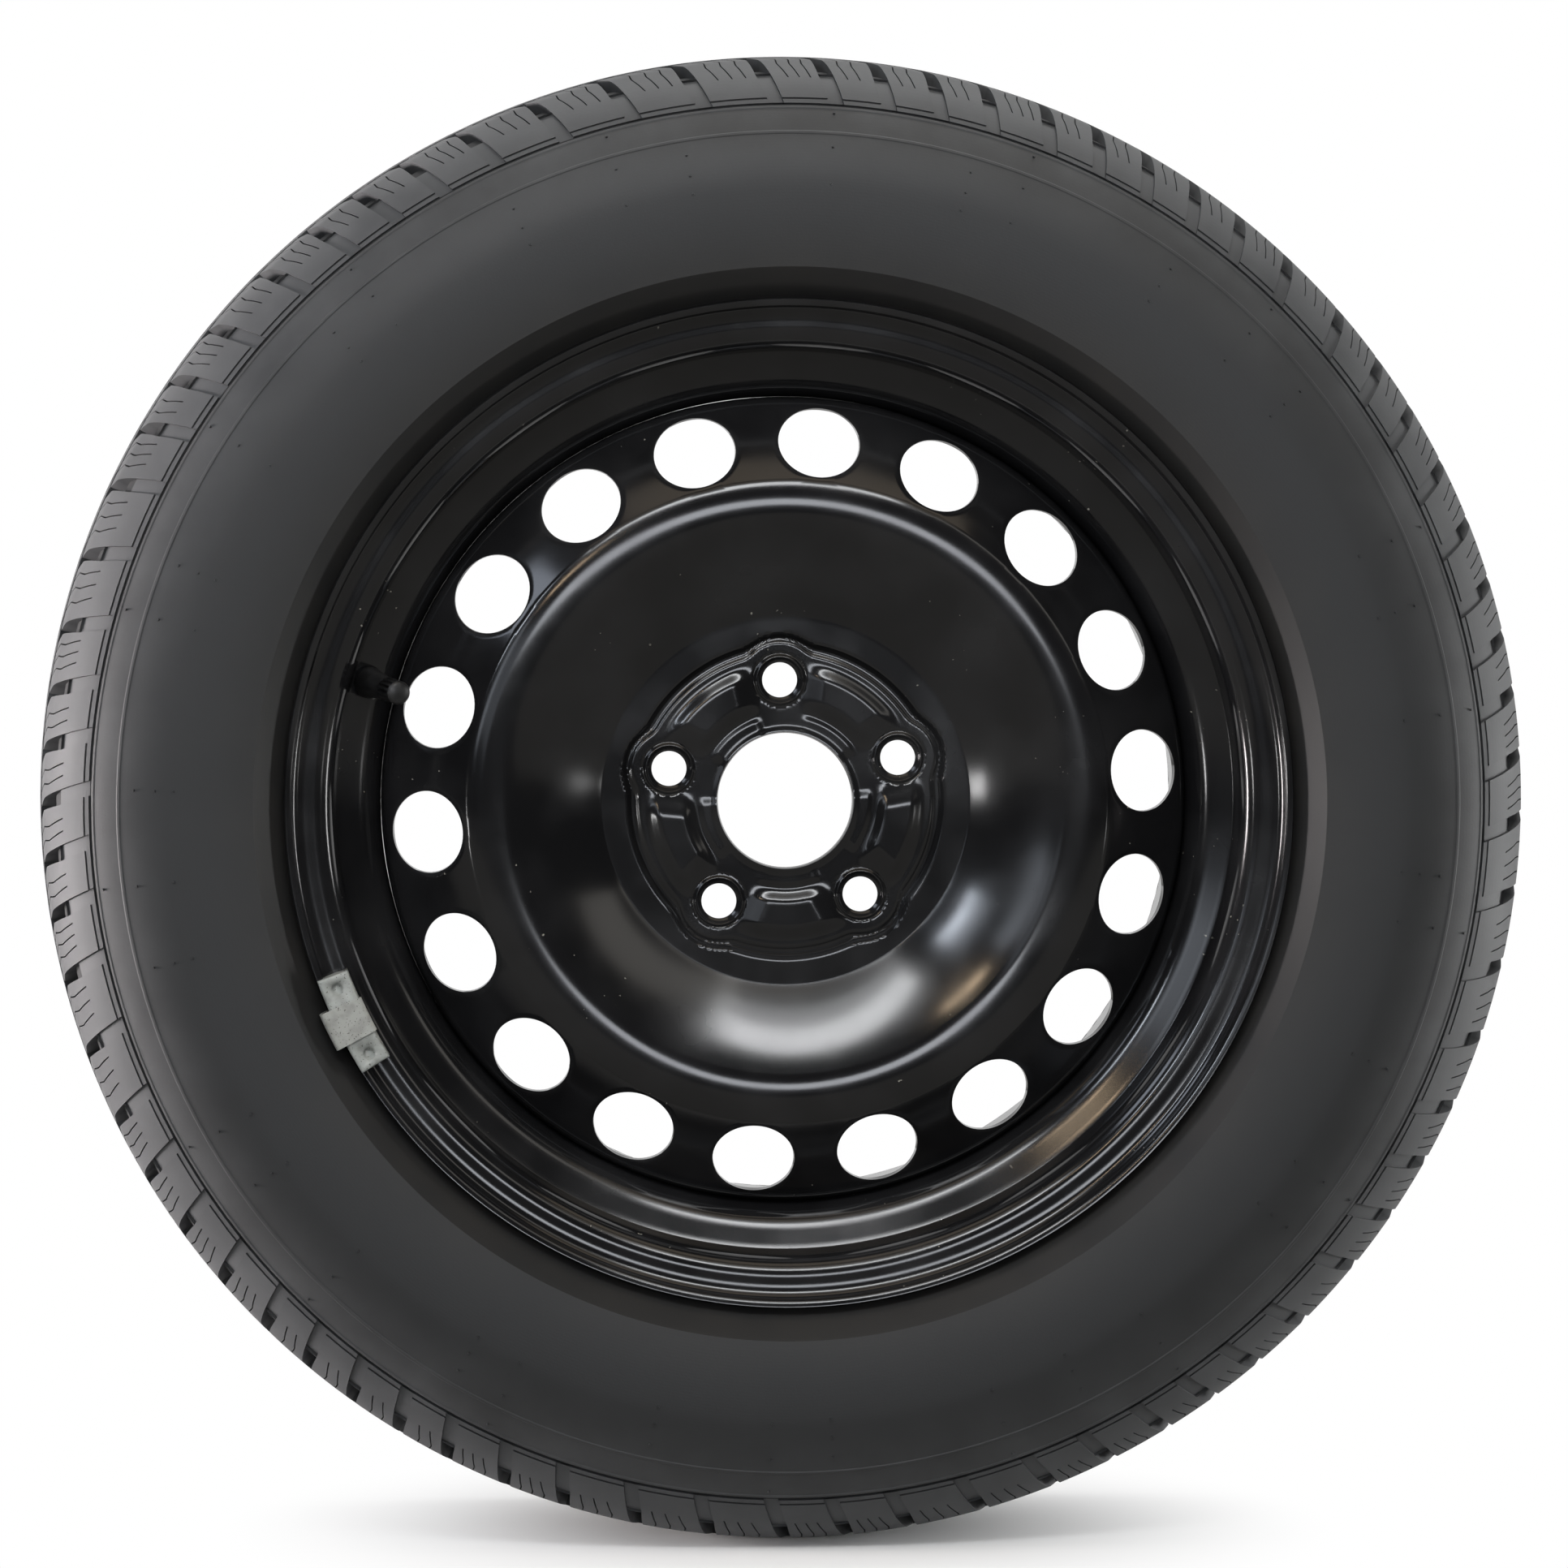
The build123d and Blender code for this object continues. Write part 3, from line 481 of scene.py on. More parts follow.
@dataclass(frozen=True)
class MouldedRubber(Finish):
    """Carbon-black tyre compound, cured in a machined mould.

    It is a soft grey-black with a waxy sheen. Road dust lies on what stands out, brownish near
    the rim, and the mould's turning marks show as fine rings.
    """

    dust_colour: str = "#4c4d4e"
    dust_span: Point = (255.0, 300.0)
    dust_share: Point = (0.05, 0.8)
    dust_dulls: float = 0.2
    bloom_colour: str = "#2e2a25"
    bloom_span: Point = (240.0, 208.0)
    bloom_share: Point = (0.0, 0.45)
    cloud: Point = (26.0, 6.0)
    cloud_span: Point = (0.3, 0.7)
    cloud_share: Point = (0.35, 1.0)
    grain: Point = (0.9, 3.0)
    grain_bump: Point = (0.05, 0.5)
    ring: float = 1.3
    ring_bump: Point = (0.006, 0.35)

    def detail(self, tree: Tree, shader: bpy.types.Node) -> None:
        """Adds the dust, the bloom near the rim, the grain and the mould's rings."""
        place = self.place(tree)
        radius = distance(tree, place, (1, 0, 1))
        dust = stretch(tree, radius, metres(self.dust_span), self.dust_share)
        cloud = stretch(tree, self.noise(tree, place, *self.cloud), self.cloud_span, self.cloud_share)
        dusty = arithmetic(tree, "MULTIPLY", dust, cloud)
        bloom = stretch(tree, radius, metres(self.bloom_span), self.bloom_share)
        bloomed = arithmetic(tree, "MULTIPLY", bloom, cloud)
        rubber = self.mix(tree, bloomed, linear(self.colour), linear(self.bloom_colour))
        colour = self.mix(tree, dusty, rubber, linear(self.dust_colour))
        tree.links.new(colour, shader.inputs["Base Color"])
        gloss = stretch(tree, dusty, (0.0, 1.0), (self.roughness, self.roughness + self.dust_dulls))
        tree.links.new(gloss, shader.inputs["Roughness"])
        turns = arithmetic(tree, "MULTIPLY", radius, math.tau * per_metre(self.ring))
        rings = arithmetic(tree, "SINE", turns)
        grain = self.bump(tree, self.noise(tree, place, *self.grain), *self.grain_bump)
        marks = self.bump(tree, rings, *self.ring_bump, grain)
        tree.links.new(marks, shader.inputs["Normal"])


@dataclass(frozen=True)
class MouldedPart(Finish):
    """Small moulded rubber or plastic part.

    It is even and satin, with a fine grain from the mould and a little dust.
    """

    dust: Point = (4.0, 4.0)
    dust_span: Point = (0.4, 0.75)
    dust_share: Point = (0.0, 0.7)
    dust_colour: str = "#3c3c3b"
    grain: Point = (0.5, 2.0)
    grain_bump: Point = (0.03, 0.5)

    def detail(self, tree: Tree, shader: bpy.types.Node) -> None:
        """Adds the dust and the grain."""
        place = self.place(tree)
        dust = stretch(tree, self.noise(tree, place, *self.dust), self.dust_span, self.dust_share)
        colour = self.mix(tree, dust, linear(self.colour), linear(self.dust_colour))
        tree.links.new(colour, shader.inputs["Base Color"])
        grain = self.bump(tree, self.noise(tree, place, *self.grain), *self.grain_bump)
        tree.links.new(grain, shader.inputs["Normal"])


@dataclass(frozen=True)
class CoatedMetal(Finish):
    """Grey coating over cast zinc or spring steel.

    It is a flat, slightly uneven grey with dirty specks and a soft edge sheen.
    """

    dirt: Point = (6.0, 5.0)
    dirt_span: Point = (0.45, 0.8)
    dirt_share: Point = (0.0, 0.6)
    dirt_colour: str = "#5d5c56"
    speck: Point = (0.8, 1.0)
    speck_span: Point = (0.66, 0.72)
    coat: Point = (0.8, 3.0)
    coat_bump: Point = (0.05, 0.4)

    def detail(self, tree: Tree, shader: bpy.types.Node) -> None:
        """Adds the dirt, the specks and the uneven coat."""
        place = self.place(tree)
        cloud = stretch(tree, self.noise(tree, place, *self.dirt), self.dirt_span, self.dirt_share)
        speck = stretch(tree, self.noise(tree, place, *self.speck), self.speck_span)
        dirt = arithmetic(tree, "MAXIMUM", cloud, speck)
        colour = self.mix(tree, dirt, linear(self.colour), linear(self.dirt_colour))
        tree.links.new(colour, shader.inputs["Base Color"])
        coat = self.bump(tree, self.noise(tree, place, *self.coat), *self.coat_bump)
        tree.links.new(coat, shader.inputs["Normal"])


@dataclass(frozen=True)
class TurnedMetal(Finish):
    """Brass or steel turned from bar.

    It is bright, with tarnish in patches and fine tool marks.
    """

    tarnish: Point = (3.0, 4.0)
    tarnish_span: Point = (0.45, 0.8)
    tarnish_share: Point = (0.0, 0.7)
    tarnish_colour: str = "#6b5526"
    mark: Point = (0.25, 2.0)
    mark_bump: Point = (0.01, 0.4)

    def detail(self, tree: Tree, shader: bpy.types.Node) -> None:
        """Adds the tarnish and the tool marks."""
        place = self.place(tree)
        noise = self.noise(tree, place, *self.tarnish)
        tarnish = stretch(tree, noise, self.tarnish_span, self.tarnish_share)
        colour = self.mix(tree, tarnish, linear(self.colour), linear(self.tarnish_colour))
        tree.links.new(colour, shader.inputs["Base Color"])
        marks = self.bump(tree, self.noise(tree, place, *self.mark), *self.mark_bump)
        tree.links.new(marks, shader.inputs["Normal"])


ENAMEL = StoveEnamel("black stove enamel", "#151516", 0.12)
WELD_ENAMEL = StoveEnamel("black stove enamel on weld", "#161616", 0.3, peel=(1.1, 1.0))
SIDEWALL = MouldedRubber("tyre sidewall rubber", "#1a1b1c", 0.52)
TREAD_TOP = MouldedRubber(
    "tyre tread rubber", "#2c2d2f", 0.52, dust_span=(270.0, 300.0), dust_share=(0.35, 0.8)
)
# Groove faces get a darker rubber colour than the tread's top: painted shade in the recesses, with less
# dust.
TREAD_GROOVE_SHADE = MouldedRubber("tyre groove rubber with painted shade", "#171718", 0.7, dust_share=(0.0, 0.12))
VALVE_RUBBER = MouldedPart("valve rubber", "#121213", 0.5, dust_colour="#2a2a2a")
CAP_PLASTIC = MouldedPart("cap polyamide", "#141415", 0.4, dust_colour="#343434")
SEAL_RUBBER = MouldedPart("seal rubber", "#141414", 0.6)
WEIGHT_COAT = CoatedMetal("grey coated zinc", "#9ea19c", 0.5)
CLIP_COAT = CoatedMetal("grey coated spring steel", "#a3a49e", 0.45)
BRASS = TurnedMetal("turned brass", "#c9a458", 0.3, 1.0)
SPRING_STEEL = TurnedMetal("bright spring steel", "#b9b9b6", 0.28, 1.0, tarnish_colour="#77756f")


# Rim and disc

@dataclass
class Rim:
    """Rolled drop-centre rim, sizes in millimetres."""

    width: float = 139.7
    thickness: float = 2.6
    seat_radius: float = 190.1
    seat_width: float = 19.4
    seat_taper: float = 5.0
    corner_radius: float = 6.5
    flange_height: float = 17.3
    flange_radius: float = 9.5
    flange_turn: float = 110.0
    flange_lip: float = 0.8
    hump_height: float = 1.5
    hump_length: float = 4.0
    hump_radius: float = 3.0
    hump_foot: float = 6.0
    well_radius: float = 170.0
    well_outer_edge: float = 38.97
    well_inner_edge: float = 2.0
    well_outer_bend: float = 12.0
    well_inner_bend: float = 25.0
    valve_clock: float = 286.0
    valve_along: float = 10.3
    valve_hole: float = 5.65
    edge_bevel: float = 0.45
    bend_segments: int = 8
    face_length: float = 3.0
    hole_margin: float = 0.5
    hole_segments: int = 32
    steps: int = 288

    @property
    def half(self) -> float:
        """Half the width between the flanges."""
        return self.width / 2

    @property
    def flange_centre(self) -> Point:
        """Middle of the outer flange's curl."""
        return self.seat_radius + self.flange_height - self.flange_radius, self.half + self.flange_radius

    @property
    def hump(self) -> Point:
        """Top of the outer hump."""
        fall = self.seat_width * math.tan(math.radians(self.seat_taper))
        outward = self.half - self.seat_width - self.hump_length
        return self.seat_radius - fall + self.hump_height, outward

    def draw_half(self, mould: Mould, side: int) -> None:
        """Draws flange, seat and hump of one side.

        Args:
            mould: gets the lines.
            side: 1 for the outer flange inwards, -1 for the inner one outwards.
        """
        reach = self.flange_radius * math.tan(math.radians(self.flange_turn / 2))
        lean = math.radians(self.flange_turn - 90)
        crook = self.flange_centre[0] + reach
        tip = (
            crook - (reach + self.flange_lip) * math.sin(lean),
            side * (self.half + (reach + self.flange_lip) * math.cos(lean)),
        )
        fall = self.seat_width * math.tan(math.radians(self.seat_taper))
        bends = [
            ((crook, side * self.half), self.flange_radius),
            ((self.seat_radius, side * self.half), self.corner_radius),
            ((self.seat_radius - fall, side * (self.half - self.seat_width)), self.hump_foot),
            ((self.hump[0], side * self.hump[1]), self.hump_radius),
        ]
        if side > 0:
            mould.start(tip)
            for point, radius in bends:
                mould.line(point, radius=radius)
        else:
            for point, radius in reversed(bends):
                mould.line(point, radius=radius)
            mould.line(tip)

    def slope_point(self, along: float) -> Point:
        """Point on the tyre's side of the slope from the outer hump to the well."""
        fall, run = self.hump[0] - self.well_radius, self.hump[1] - self.well_outer_edge
        length = math.hypot(fall, run)
        return self.hump[0] - along * fall / length, self.hump[1] - along * run / length

    def valve_place(self) -> Matrix:
        """Frame of the valve's hole, on the tyre's side, its Z out of the hole."""
        start, end = self.slope_point(0), self.slope_point(1)
        along = Vector((end[0] - start[0], end[1] - start[1]))
        square = Vector((along[1], -along[0], 0))
        turn = square.to_track_quat("Z", "Y").to_matrix().to_4x4()
        spot = self.slope_point(self.valve_along)
        return clock_turn(self.valve_clock) @ Matrix.Translation(at(spot)) @ turn

    def on_slope(self, point: Vector) -> Vector:
        """Puts a point on the slope by its radius."""
        radius = math.hypot(point.x, point.z) / MM
        start, end = self.slope_point(0), self.slope_point(10)
        share = (radius - start[0]) / (end[0] - start[0])
        return Vector((point.x, -(start[1] + share * (end[1] - start[1])) * MM, point.z))

    def build(self) -> bpy.types.Object:
        """Makes the rim."""
        mould = Mould()
        self.draw_half(mould, 1)
        mould.line((self.well_radius, self.well_outer_edge), radius=self.well_outer_bend)
        mould.line((self.well_radius, self.well_inner_edge), radius=self.well_inner_bend)
        self.draw_half(mould, -1)
        mould.round_corners(self.bend_segments)
        mould.divide(self.face_length, high=self.hump[0])
        mould.spin(self.steps)
        mould.weld()
        mould.face_towards(lambda spot: Vector((spot.x, 0, spot.z)))
        rings = [(self.valve_hole, 0.0)]
        mould.punch(self.valve_place(), rings, self.hole_margin, self.on_slope, self.hole_segments)
        mould.thicken(self.thickness)
        mould.soften(self.edge_bevel, SHARP_CORNER)
        return mould.cast("rim_shell", [ENAMEL], Body.WHEEL, ["rim"])


@dataclass
class Disc:
    """Pressed steel disc, sizes in millimetres, angles in degrees."""

    thickness: float = 3.5
    offset: float = 40.0
    bore: float = 28.55
    bolt_count: int = 5
    bolt_circle: float = 50.0
    bolt_hole: float = 7.25
    bolt_first_clock: float = 357.4
    seat_sphere: float = 13.0
    seat_radius: float = 9.6
    boss_radius: float = 11.0
    boss_height: float = 0.9
    pad_radius: float = 60.6
    pad_step: float = 2.7
    pad_run: float = 1.5
    lobe_radius: float = 15.4
    lobe_blend: float = 2.0
    groove_radius: float = 63.8
    groove_depth: float = 0.9
    groove_lobe: float = 17.6
    groove_run: float = 2.2
    emboss_height: float = 2.1
    emboss_radius: float = 47.4
    emboss_width: float = 20.4
    emboss_arc: float = 26.0
    emboss_end: float = 12.0
    emboss_flank: float = 5.2
    bore_lip: float = 0.55
    bore_lip_width: float = 2.4
    collar_edge: float = 36.0
    collar_height: float = 0.4
    collar_arc: float = 24.0
    collar_flank: float = 1.2
    collar_end: float = 8.0
    bowl_radius: float = 76.5
    bowl_rise: float = 0.4
    bowl_bend: float = 1.2
    bowl_slope: float = 26.4
    wall_radius: float = 96.0
    wall_slope: float = 18.0
    wall_bend: float = 230.0
    crest_bend: float = 31.0
    crest_slope: float = 17.0
    crest_edge: float = 132.8
    crest_edge_bend: float = 6.0
    vent_count: int = 18
    vent_radius: float = 17.0
    vent_circle: float = 148.7
    vent_outward: float = 51.0
    vent_slope: float = 33.0
    vent_first_clock: float = 5.25
    skirt_radius: float = 167.25
    skirt_bend: float = 8.0
    skirt_end: float = 10.0
    edge_bevel: float = 0.6
    bend_segments: int = 9
    face_length: float = 2.1
    pad_face_length: float = 1.05
    step_face_length: float = 0.7
    round_tolerance: float = 0.01
    seat_steps: int = 5
    bolt_margin: float = 0.3
    vent_margin: float = 0.4
    hole_segments: int = 60
    steps: int = 160
    hub_cuts: int = 2
    hub_edge: float = 72.0
    vent_rim: float = 2.8
    vent_lean: float = 1.9
    vent_places: list[Matrix] = field(default_factory=list)
    line: list[Point] = field(default_factory=list)

    @property
    def floor(self) -> float:
        """Outward depth of the bowl's floor."""
        return self.offset + self.thickness + self.pad_step

    def bolt_clocks(self) -> list[float]:
        """Clock angles of the bolt holes."""
        return [self.bolt_first_clock + i * 360 / self.bolt_count for i in range(self.bolt_count)]

    def draw(self, mould: Mould) -> None:
        """Draws the front line from the bore to the skirt's end."""
        angles = (self.bowl_slope, self.wall_slope, self.crest_slope, self.vent_slope)
        steep, rise, lean, fall = (math.tan(math.radians(angle)) for angle in angles)
        bowl = (self.bowl_radius, self.floor + self.bowl_rise)
        wall = (self.wall_radius, bowl[1] + steep * (self.wall_radius - bowl[0]))
        edge = (self.crest_edge, self.vent_outward + fall * (self.vent_circle - self.crest_edge))
        crest_radius = (edge[1] + lean * edge[0] - wall[1] + rise * wall[0]) / (rise + lean)
        crest = (crest_radius, wall[1] + rise * (crest_radius - wall[0]))
        skirt_top = self.vent_outward - fall * (self.skirt_radius - self.vent_circle)
        mould.start((self.bore, self.floor))
        mould.line(bowl, radius=self.bowl_bend)
        mould.line(wall, radius=self.wall_bend)
        mould.line(crest, radius=self.crest_bend)
        mould.line(edge, radius=self.crest_edge_bend)
        mould.line((self.skirt_radius, skirt_top), radius=self.skirt_bend)
        mould.line((self.skirt_radius, self.skirt_end))
        pad_edge = self.pad_radius - self.pad_run
        mould.round_corners(self.bend_segments)
        mould.divide(self.face_length)
        mould.divide(self.pad_face_length, high=pad_edge)
        mould.divide(self.step_face_length, low=pad_edge, high=self.hub_edge)

    def refine_hub(self, mould: Mould) -> None:
        """Divides the hub's faces round the axis, for its fine steps."""
        round_edges = []
        for edge in mould.mesh.edges:
            first, second = (math.hypot(v.co.x, v.co.z) / MM for v in edge.verts)
            if abs(first - second) < self.round_tolerance and first < self.hub_edge:
                round_edges.append(edge)
        bmesh.ops.subdivide_edges(mould.mesh, edges=round_edges, cuts=self.hub_cuts, use_grid_fill=True)

    def on_front(self, point: Vector) -> Vector:
        """Puts a point on the front line by its radius."""
        radius = math.hypot(point.x, point.z) / MM
        for (low, start), (high, end) in zip(self.line, self.line[1:]):
            if low <= radius <= high and high > low:
                outward = start + (radius - low) / (high - low) * (end - start)
                return Vector((point.x, -outward * MM, point.z))
        return point

    def bolt_distance(self, across: float, up: float) -> float:
        """Distance of a hub point from the nearest bolt hole's middle."""
        places = [(math.sin(math.radians(c)), math.cos(math.radians(c))) for c in self.bolt_clocks()]
        return min(math.hypot(across - self.bolt_circle * s, up - self.bolt_circle * c) for s, c in places)

    def hub_lift(self, across: float, up: float) -> float:
        """Height of the pressed hub face beside the bowl's floor.

        Args:
            across: place to the right of the axis.
            up: place above the axis.

        Returns:
            Outward lift, in millimetres.
        """
        radius = math.hypot(across, up)
        bolt = self.bolt_distance(across, up)
        pad = soft_least(radius - self.pad_radius, bolt - self.lobe_radius, self.lobe_blend)
        groove = soft_least(radius - self.groove_radius, bolt - self.groove_lobe, self.lobe_blend)
        lift = self.groove_depth * (1 - ramp(pad / self.pad_run))
        lift -= (self.pad_step + self.groove_depth) * (1 - ramp(groove / self.groove_run))
        share = 360 / self.bolt_count
        clock = math.degrees(math.atan2(across, up)) - self.bolt_first_clock
        off = math.radians((clock % share) - share / 2)
        within = (math.radians(self.emboss_arc) - abs(off)) * radius
        beside = self.emboss_width / 2 - abs(radius - self.emboss_radius)
        lift += self.emboss_height * ramp(beside / self.emboss_flank) * ease(within / self.emboss_end)
        lip = 1 - (radius - self.bore) / self.bore_lip_width
        collar = ease((self.collar_edge - radius) / self.collar_flank)
        collar *= ease((self.collar_arc - abs(math.degrees(off))) / self.collar_end)
        return lift + self.bore_lip * ease(lip) + self.collar_height * collar

    def press_hub(self, mould: Mould) -> None:
        """Presses the pad, its lobes and the embossed arcs."""
        for vert in mould.mesh.verts:
            across, up = vert.co.x / MM, vert.co.z / MM
            if math.hypot(across, up) < self.bowl_radius:
                vert.co.y -= self.hub_lift(across, up) * MM

    def seat_rings(self) -> list[Point]:
        """Rings of a bolt hole's ball seat and boss, from the hole outwards."""
        drop = math.sqrt(self.seat_sphere**2 - self.seat_radius**2)
        run, flank = self.seat_radius - self.bolt_hole, self.boss_radius - self.seat_radius
        seat = [self.bolt_hole + i * run / self.seat_steps for i in range(self.seat_steps + 1)]
        rings = [(r, self.boss_height + drop - math.sqrt(self.seat_sphere**2 - r * r)) for r in seat]
        for i in range(self.seat_steps):
            share = (i + 1) / self.seat_steps
            rings.append((self.seat_radius + share * flank, self.boss_height * ease(1 - share)))
        return rings

    def punch_bolts(self, mould: Mould) -> None:
        """Punches the bolt holes, with their ball seats."""
        square = Matrix.Rotation(math.radians(90), 4, "X")
        level = -(self.offset + self.thickness) * MM
        for clock in self.bolt_clocks():
            place = clock_turn(clock) @ Matrix.Translation(at((self.bolt_circle, -level / MM))) @ square
            mould.punch(
                place, self.seat_rings(), self.bolt_margin, lambda p: Vector((p.x, level, p.z)),
                self.hole_segments,
            )

    def punch_vents(self, mould: Mould) -> None:
        """Punches the vents square to the sloping wall."""
        slope = math.radians(self.vent_slope)
        turn = Vector((math.sin(slope), -math.cos(slope), 0)).to_track_quat("Z", "Y").to_matrix().to_4x4()
        spot = Matrix.Translation(at((self.vent_circle, self.vent_outward)))
        for i in range(self.vent_count):
            place = clock_turn(self.vent_first_clock + i * 360 / self.vent_count) @ spot @ turn
            rings = [(self.vent_radius, 0.0), (self.vent_radius + self.vent_rim, 0.0)]
            mould.punch(place, rings, self.vent_margin, self.on_front, self.hole_segments)
            self.vent_places.append(place)

    def lean_vents(self, mould: Mould) -> None:
        """Leans the vents' walls, by moving their back edges out along the cone."""
        cone = []
        for vert in mould.mesh.verts:
            if self.crest_edge < math.hypot(vert.co.x, vert.co.z) / MM < self.skirt_radius:
                cone.append(vert)
        edge = self.vent_radius + self.vent_rim / 2
        slope = math.radians(self.vent_slope)
        for place in self.vent_places:
            back = place.inverted()
            out = Vector((place.translation.x, 0, place.translation.z)).normalized()
            lean = (out * math.cos(slope) + Vector((0, math.sin(slope), 0))) * self.vent_lean * MM
            for vert in cone:
                spot = back @ vert.co / MM
                if spot.z < -self.thickness / 2 and math.hypot(spot.x, spot.y) < edge:
                    vert.co += lean

    def build(self) -> bpy.types.Object:
        """Makes the disc."""
        mould = Mould()
        self.draw(mould)
        lowest = self.vent_outward - self.thickness - self.skirt_bend
        self.line = [p for p in mould.profile() if p[1] > lowest]
        mould.spin(self.steps)
        mould.weld()
        self.refine_hub(mould)
        mould.face_towards(lambda spot: Vector((0, -1, 0)))
        self.punch_vents(mould)
        self.press_hub(mould)
        self.punch_bolts(mould)
        bmesh.ops.recalc_face_normals(mould.mesh, faces=mould.mesh.faces[:])
        mould.face_towards(lambda spot: Vector((0, -1, 0)))
        mould.thicken(self.thickness)
        self.lean_vents(mould)
        mould.soften(self.edge_bevel, SHARP_CORNER)
        return mould.cast("disc_pressing", [ENAMEL], Body.WHEEL, ["wheel_disc"])


# Tyre

@dataclass
class Tyre:
    """Winter tyre, sizes in millimetres, angles in degrees."""

    radius: float = 308.9
    crown_arc: float = 480.0
    half_tread: float = 58.0
    shoulder: Point = (286.0, 82.0)
    shoulder_bulge: float = 3.0
    widest: Point = (251.0, 93.5)
    protector: Point = (219.7, 90.7)
    band: Point = (218.5, 89.5)
    bead_gap: float = 0.15
    bead_width: float = 18.6
    bead_heel: float = 7.5
    bead_wrap: float = 50.0
    liner: tuple[Point, ...] = ((203.0, 56.0), (225.0, 84.5), (262.0, 91.0), (288.5, 71.0))
    liner_crown: float = 292.0
    liner_bend: float = 25.0
    belt: tuple[Point, ...] = ((300.0, 0.0), (298.4, 44.0), (296.0, 57.0), (293.5, 68.0), (288.5, 76.0))
    pitch_word: str = "SSSMSSSSMLMSMMMSSMMLLLLMMMLMSSMMLLMM" + "LLLMMSSSSMMMMLLMSSSSMLLMSMLMSSMLLLLM"
    pitch_first_clock: float = 2.2
    ring_depth: float = 7.0
    slot_depth: float = 5.0
    sipe_width: float = 0.6
    sipe_depth: float = 3.0
    channel_depth: float = 1.1
    line_depth: float = 1.2
    base_line_depth: float = 0.7
    block_bevel: float = 0.45
    lip_foot: Point = (284.9, 80.4)
    lip: tuple[Point, ...] = ((285.2, -0.9), (285.3, 0.1), (285.0, 0.35), (284.4, 0.35), (284.0, 0.0))
    ridge_radius: float = 274.3
    ridge_height: float = 0.3
    ridge_width: float = 0.8
    nub_rows: int = 36
    nub_spots: tuple[tuple[float, ...], ...] = ((282.4, 268.6, 253.5), (268.0, 252.0, 259.5))
    nub_phase: float = 0.35
    nub_sway: float = 3.0
    nub_sway_turn: float = 2.3
    nub_radius: float = 0.55
    nub_taper: float = 0.8
    nub_height: float = 1.1
    nub_sink: float = 0.1
    nub_sides: int = 8
    ridge_steps: int = 6
    upper_steps: int = 10
    lower_steps: int = 8
    bead_steps: int = 8
    bend_segments: int = 6
    steps: int = 240

    @property
    def crown_length(self) -> float:
        """Length along the crown from its middle to its edge."""
        return self.crown_arc * math.asin(self.half_tread / self.crown_arc)

    def crown_edge(self) -> Point:
        """Section point at the edge of the crown."""
        drop = self.crown_arc - math.sqrt(self.crown_arc**2 - self.half_tread**2)
        return self.radius - drop, self.half_tread

    def shoulder_arc(self) -> tuple[Point, float, float]:
        """Middle, radius and first normal angle of the shoulder's arc."""
        start, end = Vector(self.crown_edge()), Vector(self.shoulder)
        run = end - start
        bulge = self.shoulder_bulge
        radius = (run.length_squared / 4 + bulge**2) / (2 * bulge)
        out = Vector((run.y, -run.x)).normalized()
        centre = (start + end) / 2 - out * (radius - bulge)
        first = math.atan2(start.y - centre.y, start.x - centre.x)
        return (centre.x, centre.y), radius, first

    def tread_surface(self, along: float) -> tuple[Point, Point]:
        """Place and outward normal on the tread.

        Args:
            along: distance from the tread's middle, measured on its surface.

        Returns:
            The (radius, outward) point and its unit normal.
        """
        side = math.copysign(1, along)
        along = abs(along)
        if along <= self.crown_length:
            angle = along / self.crown_arc
            radius = self.radius - self.crown_arc * (1 - math.cos(angle))
            outward = self.crown_arc * math.sin(angle)
        else:
            centre, bend, first = self.shoulder_arc()
            angle = first + (along - self.crown_length) / bend
            radius = centre[0] + bend * math.cos(angle)
            outward = centre[1] + bend * math.sin(angle)
        return (radius, side * outward), (math.cos(angle), side * math.sin(angle))

    def tangent_centre(self, end: Point) -> Point:
        """Middle of the sidewall arc that leaves the widest point squarely."""
        away, drop = end[0] - self.widest[0], self.widest[1] - end[1]
        return self.widest[0], self.widest[1] - (away**2 + drop**2) / (2 * drop)

    def sidewall_point(self, radius: float, lift: float) -> Point:
        """Point on or above the sidewall between the widest place and the shoulder."""
        centre = self.tangent_centre(self.shoulder)
        bend = self.widest[1] - centre[1]
        angle = math.asin((radius - centre[0]) / bend)
        return centre[0] + (bend + lift) * math.sin(angle), centre[1] + (bend + lift) * math.cos(angle)

    def build(self, rim: Rim) -> None:
        """Makes the casing and the tread."""
        self.build_casing(rim)
        Tread(self).build()

    def build_casing(self, rim: Rim) -> bpy.types.Object:
        """Makes the belt, sidewalls, beads and liner as one spun casing.

        Args:
            rim: rim that the beads sit on.

        Returns:
            The casing.
        """
        mould = Mould()
        mould.start(self.belt[0])
        mould.line(*self.belt[1:])
        mould.line(self.lip_foot, *(self.sidewall_point(*spot) for spot in self.lip))
        self.draw_ridge(mould)
        mould.arc(self.tangent_centre(self.shoulder), self.widest, self.upper_steps)
        mould.arc(self.tangent_centre(self.protector), self.protector, self.lower_steps)
        mould.line(self.band)
        self.draw_bead(mould, rim)
        for point in self.liner:
            mould.line(point, radius=self.liner_bend)
        mould.line((self.liner_crown, 0))
        mould.round_corners(self.bend_segments)
        mould.spin(self.steps)
        mould.mirror()
        mould.weld()
        self.add_nubs(mould)
        return mould.cast("tyre_casing", [SIDEWALL], Body.WHEEL, ["tyre"])

